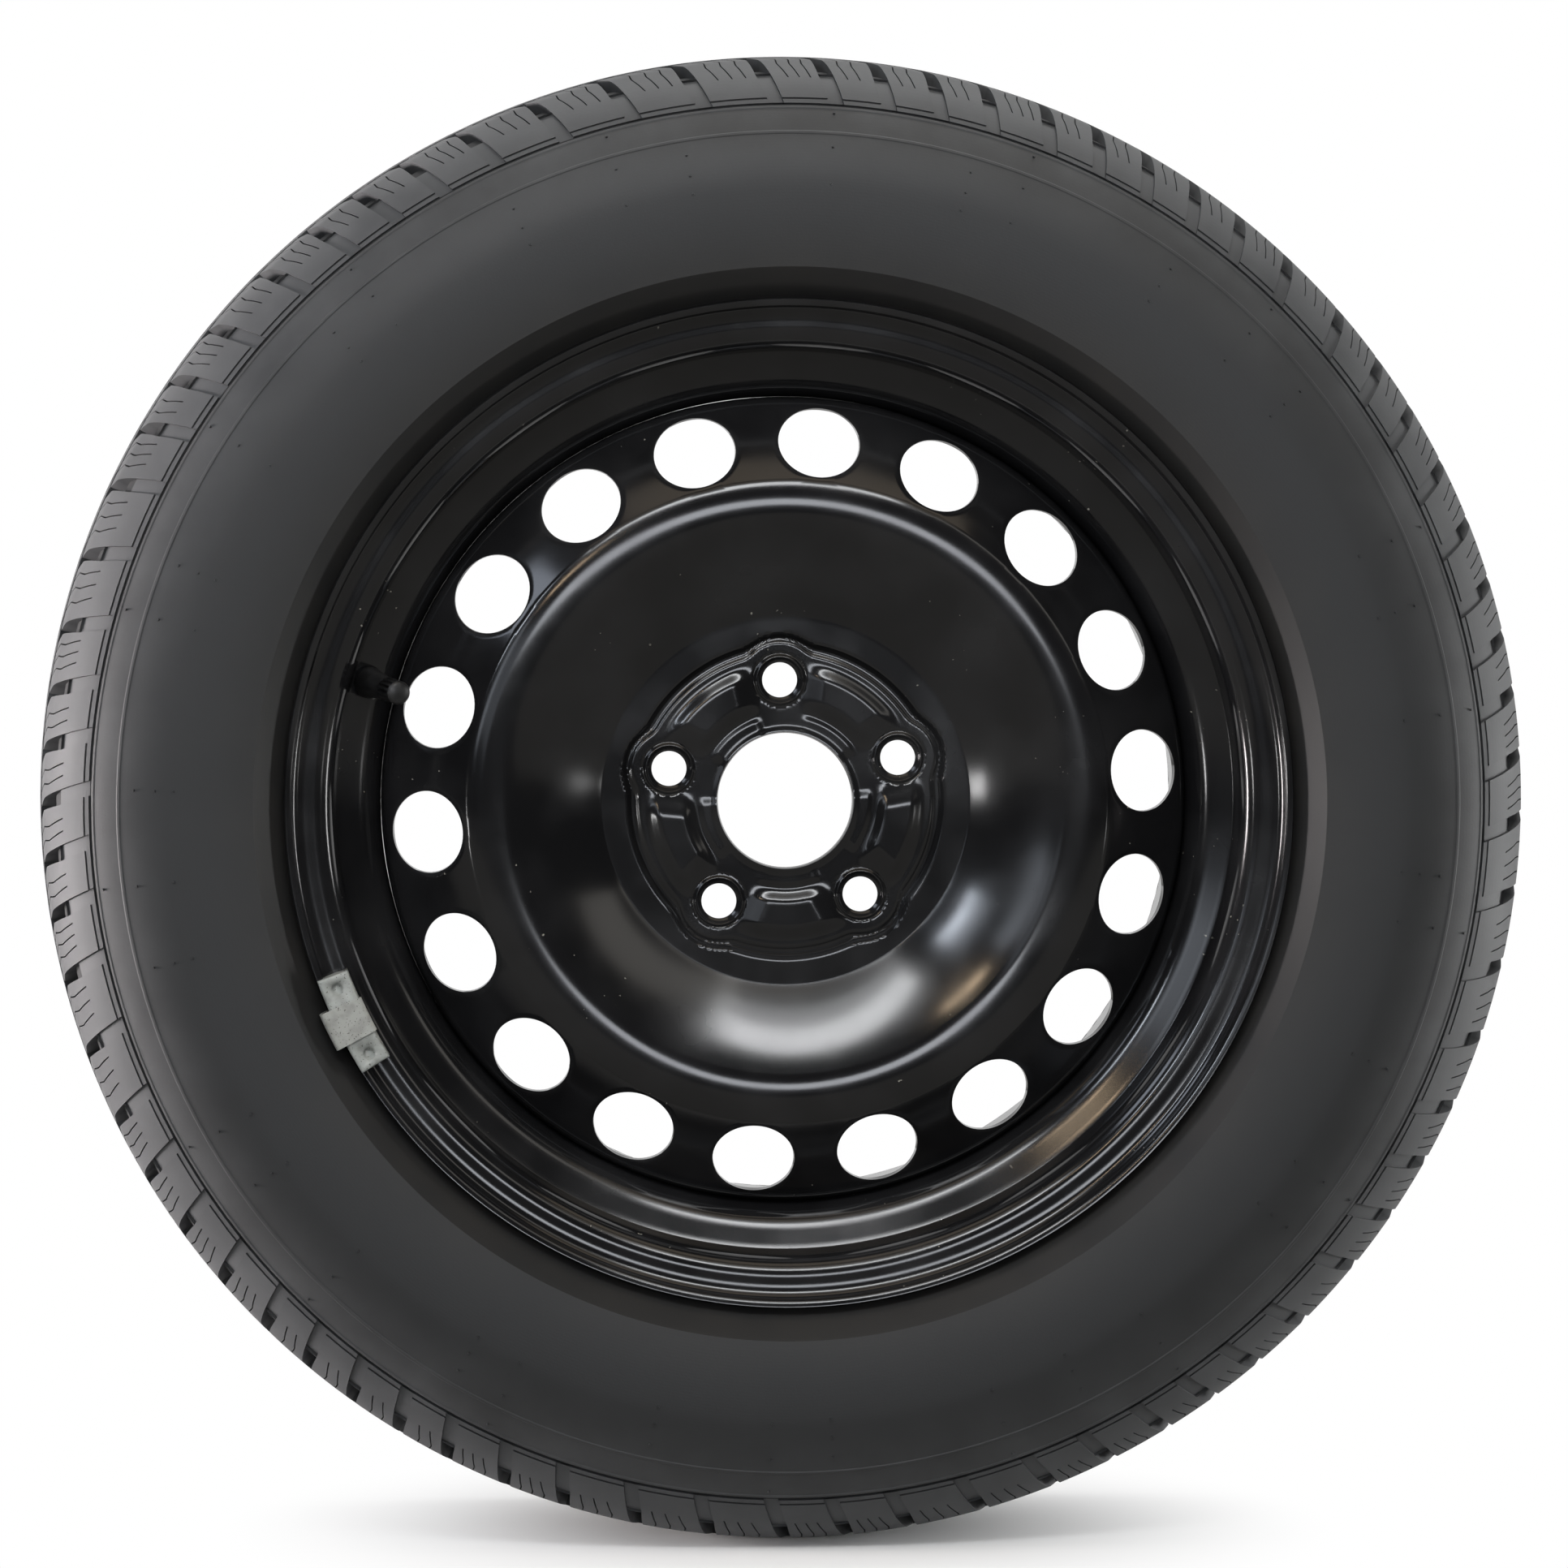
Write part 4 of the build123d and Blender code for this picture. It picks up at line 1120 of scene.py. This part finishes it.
    def draw_ridge(self, mould: Mould) -> None:
        """Draws the sidewall down to a raised ring and over it."""
        radius, height, width = self.ridge_radius, self.ridge_height, self.ridge_width
        start = self.sidewall_point(radius + width, 0.0)
        mould.arc(self.tangent_centre(self.shoulder), start, self.ridge_steps)
        mould.line(self.sidewall_point(radius + width / 2, height))
        mould.line(self.sidewall_point(radius - width / 2, height))
        mould.line(self.sidewall_point(radius - width, 0.0))

    def draw_bead(self, mould: Mould, rim: Rim) -> None:
        """Draws the bead round the flange's curl, down to the heel and along the seat."""
        centre = rim.flange_centre
        curl = rim.flange_radius + self.bead_gap
        wrap = math.radians(self.bead_wrap)
        face = rim.half - self.bead_gap
        heel = (rim.seat_radius + self.bead_gap, face)
        fall = self.bead_width * math.tan(math.radians(rim.seat_taper))
        mould.line((centre[0] + curl * math.sin(wrap), centre[1] - curl * math.cos(wrap)))
        mould.arc(centre, (centre[0], face), self.bead_steps)
        mould.line(heel, radius=self.bead_heel)
        mould.line((heel[0] - fall, face - self.bead_width))

    def add_nubs(self, mould: Mould) -> None:
        """Adds the small rubber vent nubs of both sidewalls."""
        for row in range(self.nub_rows):
            clock = (row + self.nub_phase) * 360 / self.nub_rows
            clock += self.nub_sway * math.sin(row * self.nub_sway_turn)
            for radius in self.nub_spots[row % 2]:
                spot = at(self.sidewall_point(radius, self.nub_height / 2 - self.nub_sink))
                out = (spot - at(self.sidewall_point(radius, 0.0))).normalized()
                for side in (1, -1):
                    turn = Vector((out.x, side * out.y, 0)).to_track_quat("Z", "Y").to_matrix().to_4x4()
                    place = Matrix.Translation((spot.x, side * spot.y, 0)) @ turn
                    bmesh.ops.create_cone(
                        mould.mesh, cap_ends=True, segments=self.nub_sides, radius1=self.nub_radius * MM,
                        radius2=self.nub_radius * MM * self.nub_taper, depth=self.nub_height * MM,
                        matrix=clock_turn(clock) @ place,
                    )


class Cell(Enum):
    """What a cell of the flat tread belongs to."""

    BLOCK = 0
    RING = 1
    POCKET = 2
    CHANNEL = 3
    SLOT = 4
    SIPE = 5
    BASE = 6
    LINE = 7


@dataclass
class Tread:
    """Tread and shoulder blocks, worked flat and then laid round the tyre.

    Flat places are (clock angle in degrees, distance from the middle in mm, height in mm).
    """

    tyre: Tyre
    rows: tuple[float, ...] = (
        0.0, 10.5, 18.5, 27.6, 36.75, 43.25, 50.0, 57.0, 58.6, 61.0, 64.0, 67.0, 70.0, 72.5, 75.0, 79.0,
        83.0, 86.5, 87.4, 89.2, 90.3,
    )
    rings: tuple[Point, ...] = ((10.5, 18.5), (36.75, 43.25))
    slot_rows: tuple[float, float] = (18.5, 36.75)
    side_start: float = 43.25
    crown_edge: float = 58.1
    sipe_bend: float = 63.5
    sipe_end: float = 75.0
    pocket_end: float = 72.5
    base_line: tuple[float, float] = (86.5, 87.4)
    end_line: tuple[float, float] = (89.2, 90.3)
    degree: float = 5.3
    slot_lean: float = 28.0
    rib_lean: float = 12.0
    slot_half: float = 0.3
    flat_weld: float = 1e-4
    seam_tolerance: float = 1e-3
    end_tolerance: float = 0.01
    wall_tilt: float = 0.5
    pocket_depths: tuple[Point, ...] = ((43.25, 6.0), (57.0, 5.5), (64.0, 3.6), (72.5, 2.0))
    sipe_shares: dict[int, tuple[float, ...]] = field(
        default_factory=lambda: {2: (0.33, 0.64), 3: (0.335, 0.575, 0.81)}
    )
    groove_left: tuple[Point, ...] = (
        (43.25, -1.3), (57.0, -0.5), (61.0, -0.36), (72.5, 0.02), (89.5, 0.92)
    )
    groove_right: tuple[Point, ...] = (
        (43.25, -0.3), (57.0, 0.36), (61.0, 0.62), (72.5, 1.22), (89.5, 2.16)
    )

    def follow(self, table: Sequence[tuple[float, float]], along: float) -> float:
        """Value of a table of (place, value) pairs at a place."""
        for (low, start), (high, end) in zip(table, table[1:]):
            if along <= high:
                return start + (along - low) / (high - low) * (end - start)
        return table[-1][1]

    def edges(self, along: float) -> tuple[float, float]:
        """Clock angles of the left and right edge of a pitch's groove."""
        if along >= self.side_start:
            return self.follow(self.groove_left, along), self.follow(self.groove_right, along)
        middle = sum(self.slot_rows) / 2
        lean = math.tan(math.radians(self.slot_lean if along >= self.slot_rows[0] else self.rib_lean))
        shift = (along - middle) * lean / self.degree
        return shift - self.slot_half, shift + self.slot_half

    def columns(self, along: float, pitch: Pitch, length: float) -> list[float]:
        """Clock angles of a pitch's lines at one row.

        Args:
            along: distance of the row from the middle.
            pitch: kind of pitch.
            length: its length in degrees.

        Returns:
            The groove's two edges, the two edges of each sipe and the next groove's first edge.
        """
        left, right = self.edges(along)
        half = self.tyre.sipe_width / 2 / self.degree
        lines = [left, right]
        for share in self.sipe_shares[pitch.sipes]:
            line = right + share * (length + left - right)
            if self.crown_edge < along < self.sipe_end:
                first, last = self.edges(self.crown_edge), self.edges(self.sipe_end)
                start = first[1] + share * (length + first[0] - first[1])
                stop = last[1] + share * (length + last[0] - last[1])
                part = max(along - self.sipe_bend, 0) / (self.sipe_end - self.sipe_bend)
                line = start + part * (stop - start)
            lines += [line - half, line + half]
        return lines + [length + left]

    def lay_pitch(self, mesh: bmesh.types.BMesh, pitch: Pitch, start: float, length: float) -> None:
        """Lays one pitch's grid of cells and marks what each cell belongs to.

        Args:
            mesh: gets the cells.
            pitch: kind of pitch.
            start: clock angle where it begins.
            length: its length in degrees.
        """
        across, along = 2 + 2 * pitch.sipes, len(self.rows) - 1
        kind = mesh.faces.layers.int["kind"]
        made = bmesh.ops.create_grid(mesh, x_segments=across, y_segments=along, size=0.5)
        cells = {f for v in made["verts"] for f in v.link_faces}
        for cell in cells:
            middle = cell.calc_center_median()
            column = math.floor((middle.x + 0.5) * across)
            row = math.floor((middle.y + 0.5) * along)
            cell[kind] = self.kind(column, (self.rows[row] + self.rows[row + 1]) / 2).value
        lines = [self.columns(along, pitch, length) for along in self.rows]
        for vert in made["verts"]:
            column = round((vert.co.x + 0.5) * across)
            row = round((vert.co.y + 0.5) * along)
            vert.co = (start + lines[row][column], self.rows[row], 0)

    def kind(self, column: int, along: float) -> Cell:
        """What a cell belongs to, by its column and row."""
        if any(low < along < high for low, high in self.rings):
            return Cell.RING
        if along > self.end_line[0]:
            return Cell.LINE
        if column == 0 and along > self.side_start:
            return Cell.POCKET if along < self.pocket_end else Cell.CHANNEL
        if column == 0 and along > self.slot_rows[0]:
            return Cell.SLOT
        if self.base_line[0] < along < self.base_line[1]:
            return Cell.BASE
        if column % 2 == 0 and column > 0 and along < self.sipe_end:
            return Cell.SIPE
        return Cell.BLOCK

    def pocket_depth(self, along: float) -> float:
        """Depth of the groove that runs out over the shoulder."""
        return self.follow(self.pocket_depths, along)

    def sink(
        self, mesh: bmesh.types.BMesh, cell: Cell, depth: Callable[[float], float], dark: bool = True,
    ) -> list[bmesh.types.BMEdge]:
        """Sinks every cell of a kind.

        Args:
            mesh: the flat tread.
            cell: kind of cell.
            depth: depth at a distance from the middle.
            dark: the sunk faces get the groove's darker rubber colour, which is painted shade.

        Returns:
            The edges round the sunk cells.
        """
        kind = mesh.faces.layers.int["kind"]
        cells = [f for f in mesh.faces if f[kind] == cell.value]
        inside = set(cells)
        border = [
            e for e in {e for f in cells for e in f.edges}
            if len(e.link_faces) == 2 and sum(f in inside for f in e.link_faces) == 1
        ]
        made = bmesh.ops.extrude_face_region(mesh, geom=cells)
        for item in made["geom"]:
            if isinstance(item, bmesh.types.BMVert):
                item.co.z -= depth(abs(item.co.y))
        bmesh.ops.delete(mesh, geom=[f for f in cells if f.is_valid], context="FACES")
        for item in made["geom"]:
            if isinstance(item, bmesh.types.BMFace):
                item.material_index = int(dark)
        return border

    def lay_round(self, vert: bmesh.types.BMVert) -> None:
        """Moves a flat vertex to its place on the tyre."""
        clock, along, height = vert.co
        (radius, outward), normal = self.tyre.tread_surface(along)
        spot = at((radius + normal[0] * height, outward + normal[1] * height))
        vert.co = clock_turn(clock) @ spot

    def build(self) -> bpy.types.Object:
        """Makes the tread."""
        mould = Mould()
        mesh = mould.mesh
        mesh.faces.layers.int.new("kind")
        pitches = [Pitch[letter] for letter in self.tyre.pitch_word]
        unit = 360 / sum(pitch.share for pitch in pitches)
        start = self.tyre.pitch_first_clock
        for pitch in pitches:
            self.lay_pitch(mesh, pitch, start, pitch.share * unit)
            start += pitch.share * unit
        bmesh.ops.remove_doubles(mesh, verts=mesh.verts[:], dist=self.flat_weld)
        tyre = self.tyre
        # Rings, pockets, slots, sipes and lines get the darker groove colour, painted shade; the channel
        # keeps the tread's colour.
        soft = self.sink(mesh, Cell.RING, lambda along: tyre.ring_depth)
        soft += self.sink(mesh, Cell.POCKET, self.pocket_depth)
        soft += self.sink(mesh, Cell.CHANNEL, lambda along: tyre.channel_depth, dark=False)
        soft += self.sink(mesh, Cell.SLOT, lambda along: tyre.slot_depth)
        self.sink(mesh, Cell.SIPE, lambda along: tyre.sipe_depth)
        self.sink(mesh, Cell.BASE, lambda along: tyre.base_line_depth)
        self.sink(mesh, Cell.LINE, lambda along: tyre.line_depth)
        self.open_ends(mesh)
        rounded = [e for e in set(soft) if e.is_valid and len(e.link_faces) == 2]
        bmesh.ops.bevel(
            mesh, geom=rounded, offset=tyre.block_bevel, offset_type="WIDTH", segments=2, profile=0.5,
            affect="EDGES", material=-1, clamp_overlap=True,
        )
        for vert in mesh.verts:
            self.lay_round(vert)
        bmesh.ops.remove_doubles(mesh, verts=mesh.verts[:], dist=10 * WELD_DISTANCE)
        mould.mirror()
        mould.weld()
        mould.face_towards(lambda spot: Vector((spot.x, 0, spot.z)))
        return mould.cast("tyre_tread", [TREAD_TOP, TREAD_GROOVE_SHADE], Body.WHEEL, ["tyre"])

    def open_ends(self, mesh: bmesh.types.BMesh) -> None:
        """Takes away the walls that close the flat tread's two ends and its middle."""
        first = min(v.co.x - self.edges(v.co.y)[0] for v in mesh.verts)
        last_row = self.rows[-1] - self.end_tolerance
        walls = []
        for face in mesh.faces:
            if abs(face.normal.z) > self.wall_tilt:
                continue
            ends = [v.co.x - self.edges(v.co.y)[0] - first for v in face.verts]
            seam = any(all(abs(e - turn) < self.seam_tolerance for e in ends) for turn in (0, 360))
            middle = all(v.co.y < self.flat_weld for v in face.verts)
            if seam or middle or all(v.co.y > last_row for v in face.verts):
                walls.append(face)
        bmesh.ops.delete(mesh, geom=walls, context="FACES")


# Small parts

@dataclass
class SmallParts:
    """Valve, balance weight and weld seams, as the CAD model has them, with their finishes."""

    smooth: float = 28.0
    press_axis: tuple[float, float, float] = (-0.356575, 0.928655, 0.102246)
    press_stroke: float = 1.2

    def recast(self, node: str, name: str, finish: Finish, body: Body) -> bpy.types.Object:
        """Makes a smooth piece from a CAD node."""
        mould = Mould()
        mould.add_copy(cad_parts[node])
        return mould.cast(name, [finish], body, [node], self.smooth)

    def seat_spring(self, coil: bpy.types.Object) -> None:
        """Gives the core's spring coil its own copy of its mesh, which keeps the CAD model's shape."""
        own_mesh(coil)

    def build(self) -> None:
        """Makes the pieces and dresses the nodes that stay."""
        self.recast("valve_body", "valve_rubber_body", VALVE_RUBBER, Body.WHEEL)
        self.recast("valve_cap", "valve_screw_cap", CAP_PLASTIC, Body.CAP)
        self.recast("balance_weight", "clip_on_weight", WEIGHT_COAT, Body.WHEEL)
        self.recast("weight_clip", "weight_spring_clip", CLIP_COAT, Body.WHEEL)
        coil = self.recast("core_spring", "core_spring_coil", SPRING_STEEL, Body.WHEEL)
        self.seat_spring(coil)
        kept = {
            "disc_welds": WELD_ENAMEL, "valve_stem": BRASS, "core_barrel": BRASS, "core_pin": BRASS,
            "core_packing_ring": SEAL_RUBBER, "core_seal_cup": SEAL_RUBBER, "cap_seal": SEAL_RUBBER,
        }
        for node, finish in kept.items():
            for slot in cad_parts[node].material_slots:
                slot.material = finish.material()
            LOG.info("%s: CAD shape, %s", node, finish.name)


# Studio

@dataclass
class SoftBox:
    """A soft area lamp that looks at the wheel, placed round the wheel's axis."""

    name: str
    clock: float
    off_axis: float
    size: tuple[float, float]
    radiance: float
    colour: str = "#ffffff"
    distance: float = 1.9

    def build(self) -> None:
        """Makes the lamp, with its width along the clock's circle."""
        turn, lean = math.radians(self.clock), math.radians(self.off_axis)
        side, ahead = math.sin(lean), math.cos(lean)
        outward = Vector((side * math.sin(turn), -ahead, side * math.cos(turn)))
        across = Vector((math.cos(turn), 0, -math.sin(turn)))
        lamp = bpy.data.lights.new(self.name, "AREA")
        lamp.shape = "RECTANGLE"
        lamp.size, lamp.size_y = self.size
        lamp.energy = self.radiance * math.pi * self.size[0] * self.size[1]
        lamp.color = linear(self.colour)[:3]
        holder = bpy.data.objects.new(self.name, lamp)
        axes = Matrix((across, outward.cross(across), outward)).transposed()
        holder.matrix_world = Matrix.Translation(outward * self.distance) @ axes.to_4x4()
        bpy.context.collection.objects.link(holder)


@dataclass
class Studio:
    """Floor, backdrop, lamps and camera, in metres, degrees and the photograph's pixels."""

    azimuth: float = -3.6
    elevation: float = 2.7
    distance: float = 3.0
    focal_pixels: float = 8784.0
    hub_pixel: Point = (967.5, 986.0)
    hub_outward: float = 43.5
    sensor: float = 36.0
    floor_height: float = -0.309
    floor_radius: float = 3.0
    floor_sides: int = 96
    floor_colour: str = "#f2f2f1"
    floor_roughness: float = 0.9
    fade: Point = (0.04, 0.24)
    # The front fields below set the floor's painted glow in front of the wheel, which only rays other than
    # the camera's meet.
    front: Point = (-0.03, -0.18)
    front_glow_colour: str = "#c3c0ba"
    front_shine: float = 0.4
    front_light: float = 0.12
    fill: float = 0.18
    front_gloss: float = 0.012
    behind: Point = (-0.05, 0.35)
    clip: Point = (0.1, 50.0)
    boxes: tuple[SoftBox, ...] = (
        SoftBox("top box, near", 356.5, 34.5, (1.15, 0.14), 16.5, "#fbfdff", 1.75),
        SoftBox("top box, middle", 356.5, 38.9, (1.35, 0.156), 5.0, "#fbfdff", 1.863),
        SoftBox("top box, far", 356.5, 43.7, (1.6, 0.166), 1.5, "#fbfbfb", 2.005),
        SoftBox("warm ceiling, front", 0.0, 50.4, (2.6, 0.32), 1.0, "#f2e3cd", 2.27),
        SoftBox("warm ceiling, back", 5.0, 66.0, (2.2, 0.5), 1.3, "#ead9c2"),
        SoftBox("window", 304.0, 39.2, (0.4, 0.075), 26.0, "#e3ecf8", 1.889),
        SoftBox("window, lower", 304.0, 37.0, (0.36, 0.09), 4.0, "#e3ecf8", 1.82),
        SoftBox("left lamp", 258.0, 45.5, (0.36, 0.098), 30.0, "#ffffff", 2.07),
        SoftBox("right lamp", 105.0, 49.5, (0.5, 0.22), 5.0, "#ffffff", 2.315),
        SoftBox("upper right wall", 45.0, 44.0, (1.3, 0.32), 1.4, "#fffaf2", 2.02),
        SoftBox("warm lamp", 318.5, 28.4, (0.2, 0.035), 28.0, "#ffe2be", 1.64),
        SoftBox("cool wall", 290.5, 29.0, (0.4, 0.104), 3.2, "#e6eefa", 1.676),
        SoftBox("cool wall, lower", 290.5, 21.1, (0.27, 0.37), 1.2, "#e6eefa", 1.554),
        SoftBox("upper left box", 308.0, 66.0, (0.42, 0.5), 5.0, "#e6efff"),
        SoftBox("left wall", 250.0, 91.0, (1.4, 0.8), 44.0, "#fff8f8", 1.6),
        SoftBox("overhead", 5.0, 98.0, (1.6, 0.6), 5.0, "#ffffff", 1.6),
        SoftBox("right wall", 105.0, 91.0, (1.2, 0.7), 16.0, "#ffffff", 1.6),
        SoftBox("front panel", 10.0, 7.0, (1.4, 0.4), 9.5, "#f4f8ff", 3.4),
    )

    def build(self) -> None:
        """Makes the whole set."""
        self.build_floor()
        self.build_world()
        for box in self.boxes:
            box.build()
        self.build_camera()

    def build_floor(self) -> None:
        """Makes a pale floor that keeps the shadow and turns to the white backdrop further out."""
        mould = bmesh.new()
        bmesh.ops.create_circle(
            mould, cap_ends=True, radius=self.floor_radius, segments=self.floor_sides,
            matrix=Matrix.Translation((0, 0, self.floor_height)),
        )
        mesh = bpy.data.meshes.new("studio_floor")
        mould.to_mesh(mesh)
        mould.free()
        mesh.materials.append(self.floor_material())
        floor = bpy.data.objects.new("studio_floor", mesh)
        bpy.context.collection.objects.link(floor)

    def floor_material(self) -> bpy.types.Material:
        """Makes a pale floor, white to the eye further out; in front it glows dimly for other rays, a
        painted room reflection and painted light.
        """
        material = bpy.data.materials.new("studio floor")
        material.use_nodes = True
        tree = material.node_tree
        shader = tree.nodes["Principled BSDF"]
        shader.inputs["Base Color"].default_value = linear(self.floor_colour)
        shader.inputs["Roughness"].default_value = self.floor_roughness
        ray = add_node(tree, "LightPath").outputs
        place = add_node(tree, "TexCoord").outputs["Object"]
        fade = stretch(tree, distance(tree, place, (1, 1, 0)), self.fade, smooth=True)
        seen = arithmetic(tree, "MULTIPLY", fade, ray["Is Camera Ray"])
        white = add_node(tree, "Emission", {"Color": (1, 1, 1, 1), "Strength": 1.0}).outputs[0]
        mixed = add_node(tree, "MixShader", {0: seen, 1: shader.outputs[0], 2: white}).outputs[0]
        # In front, rays other than the camera's meet a dim glow instead of the floor: a painted reflection
        # of the room for glossy rays and painted light for the rest.
        depth = add_node(tree, "SeparateXYZ", {0: place}).outputs["Y"]
        front = stretch(tree, depth, self.front, smooth=True)
        unseen = arithmetic(tree, "SUBTRACT", 1.0, ray["Is Camera Ray"])
        mirrored = arithmetic(tree, "MULTIPLY", front, unseen)
        shine = arithmetic(tree, "MULTIPLY_ADD", ray["Is Glossy Ray"], self.front_shine, self.front_light)
        dim = {"Color": linear(self.front_glow_colour), "Strength": shine}
        painted_room_glow = add_node(tree, "Emission", dim).outputs[0]
        surface = add_node(tree, "MixShader", {0: mirrored, 1: mixed, 2: painted_room_glow}).outputs[0]
        tree.links.new(surface, tree.nodes["Material Output"].inputs["Surface"])
        return material

    def build_world(self) -> None:
        """Makes the backdrop: white to the eye and behind the wheel, dim in front for reflections."""
        world = bpy.data.worlds.new("studio backdrop")
        bpy.context.scene.world = world
        world.use_nodes = True
        tree = world.node_tree
        ray = add_node(tree, "LightPath").outputs
        direction = add_node(tree, "TexCoord").outputs["Generated"]
        depth = add_node(tree, "SeparateXYZ", {0: direction}).outputs["Y"]
        behind = stretch(tree, depth, self.behind, (self.front_gloss, 1.0), smooth=True)
        lit = {0: ray["Is Glossy Ray"], 2: self.fill, 3: behind}
        glossy = add_node(tree, "Mix", lit, data_type="FLOAT").outputs[0]
        shown = arithmetic(tree, "MAXIMUM", ray["Is Camera Ray"], ray["Is Transmission Ray"])
        strength = add_node(tree, "Mix", {0: shown, 2: glossy, 3: 1.0}, data_type="FLOAT").outputs[0]
        background = tree.nodes["Background"]
        background.inputs["Color"].default_value = (1, 1, 1, 1)
        tree.links.new(strength, background.inputs["Strength"])

    def build_camera(self) -> None:
        """Puts the camera at the photograph's angle, with the hub where the photograph has it."""
        turn, lift = math.radians(self.azimuth), math.radians(self.elevation)
        back = Vector((math.sin(turn) * math.cos(lift), -math.cos(turn) * math.cos(lift), math.sin(lift)))
        place = back * self.distance
        hub = Vector((0, -self.hub_outward * MM, 0))
        right = Vector((0, 0, 1)).cross(back).normalized()
        above = back.cross(right)
        pixel = (place - hub).length / self.focal_pixels
        aim = hub - right * (self.hub_pixel[0] - PHOTO_WIDTH / 2) * pixel
        aim += above * (self.hub_pixel[1] - PHOTO_WIDTH / 2) * pixel
        camera = bpy.data.cameras.new("studio camera")
        camera.sensor_width = self.sensor
        camera.lens = self.focal_pixels * self.sensor / PHOTO_WIDTH
        camera.clip_start, camera.clip_end = self.clip
        holder = bpy.data.objects.new("studio camera", camera)
        holder.location = place
        holder.rotation_mode = "QUATERNION"
        holder.rotation_quaternion = (aim - place).to_track_quat("-Z", "Y")
        bpy.context.collection.objects.link(holder)
        bpy.context.scene.camera = holder


def main() -> None:
    """Builds the wheel, the tyre and the studio."""
    logging.basicConfig(level=logging.INFO, format="%(message)s")
    bpy.context.scene.view_settings.view_transform = "Standard"
    rim = Rim()
    rim.build()
    Disc().build()
    Tyre().build(rim)
    SmallParts().build()
    Studio().build()


if __name__ == "__main__":
    main()
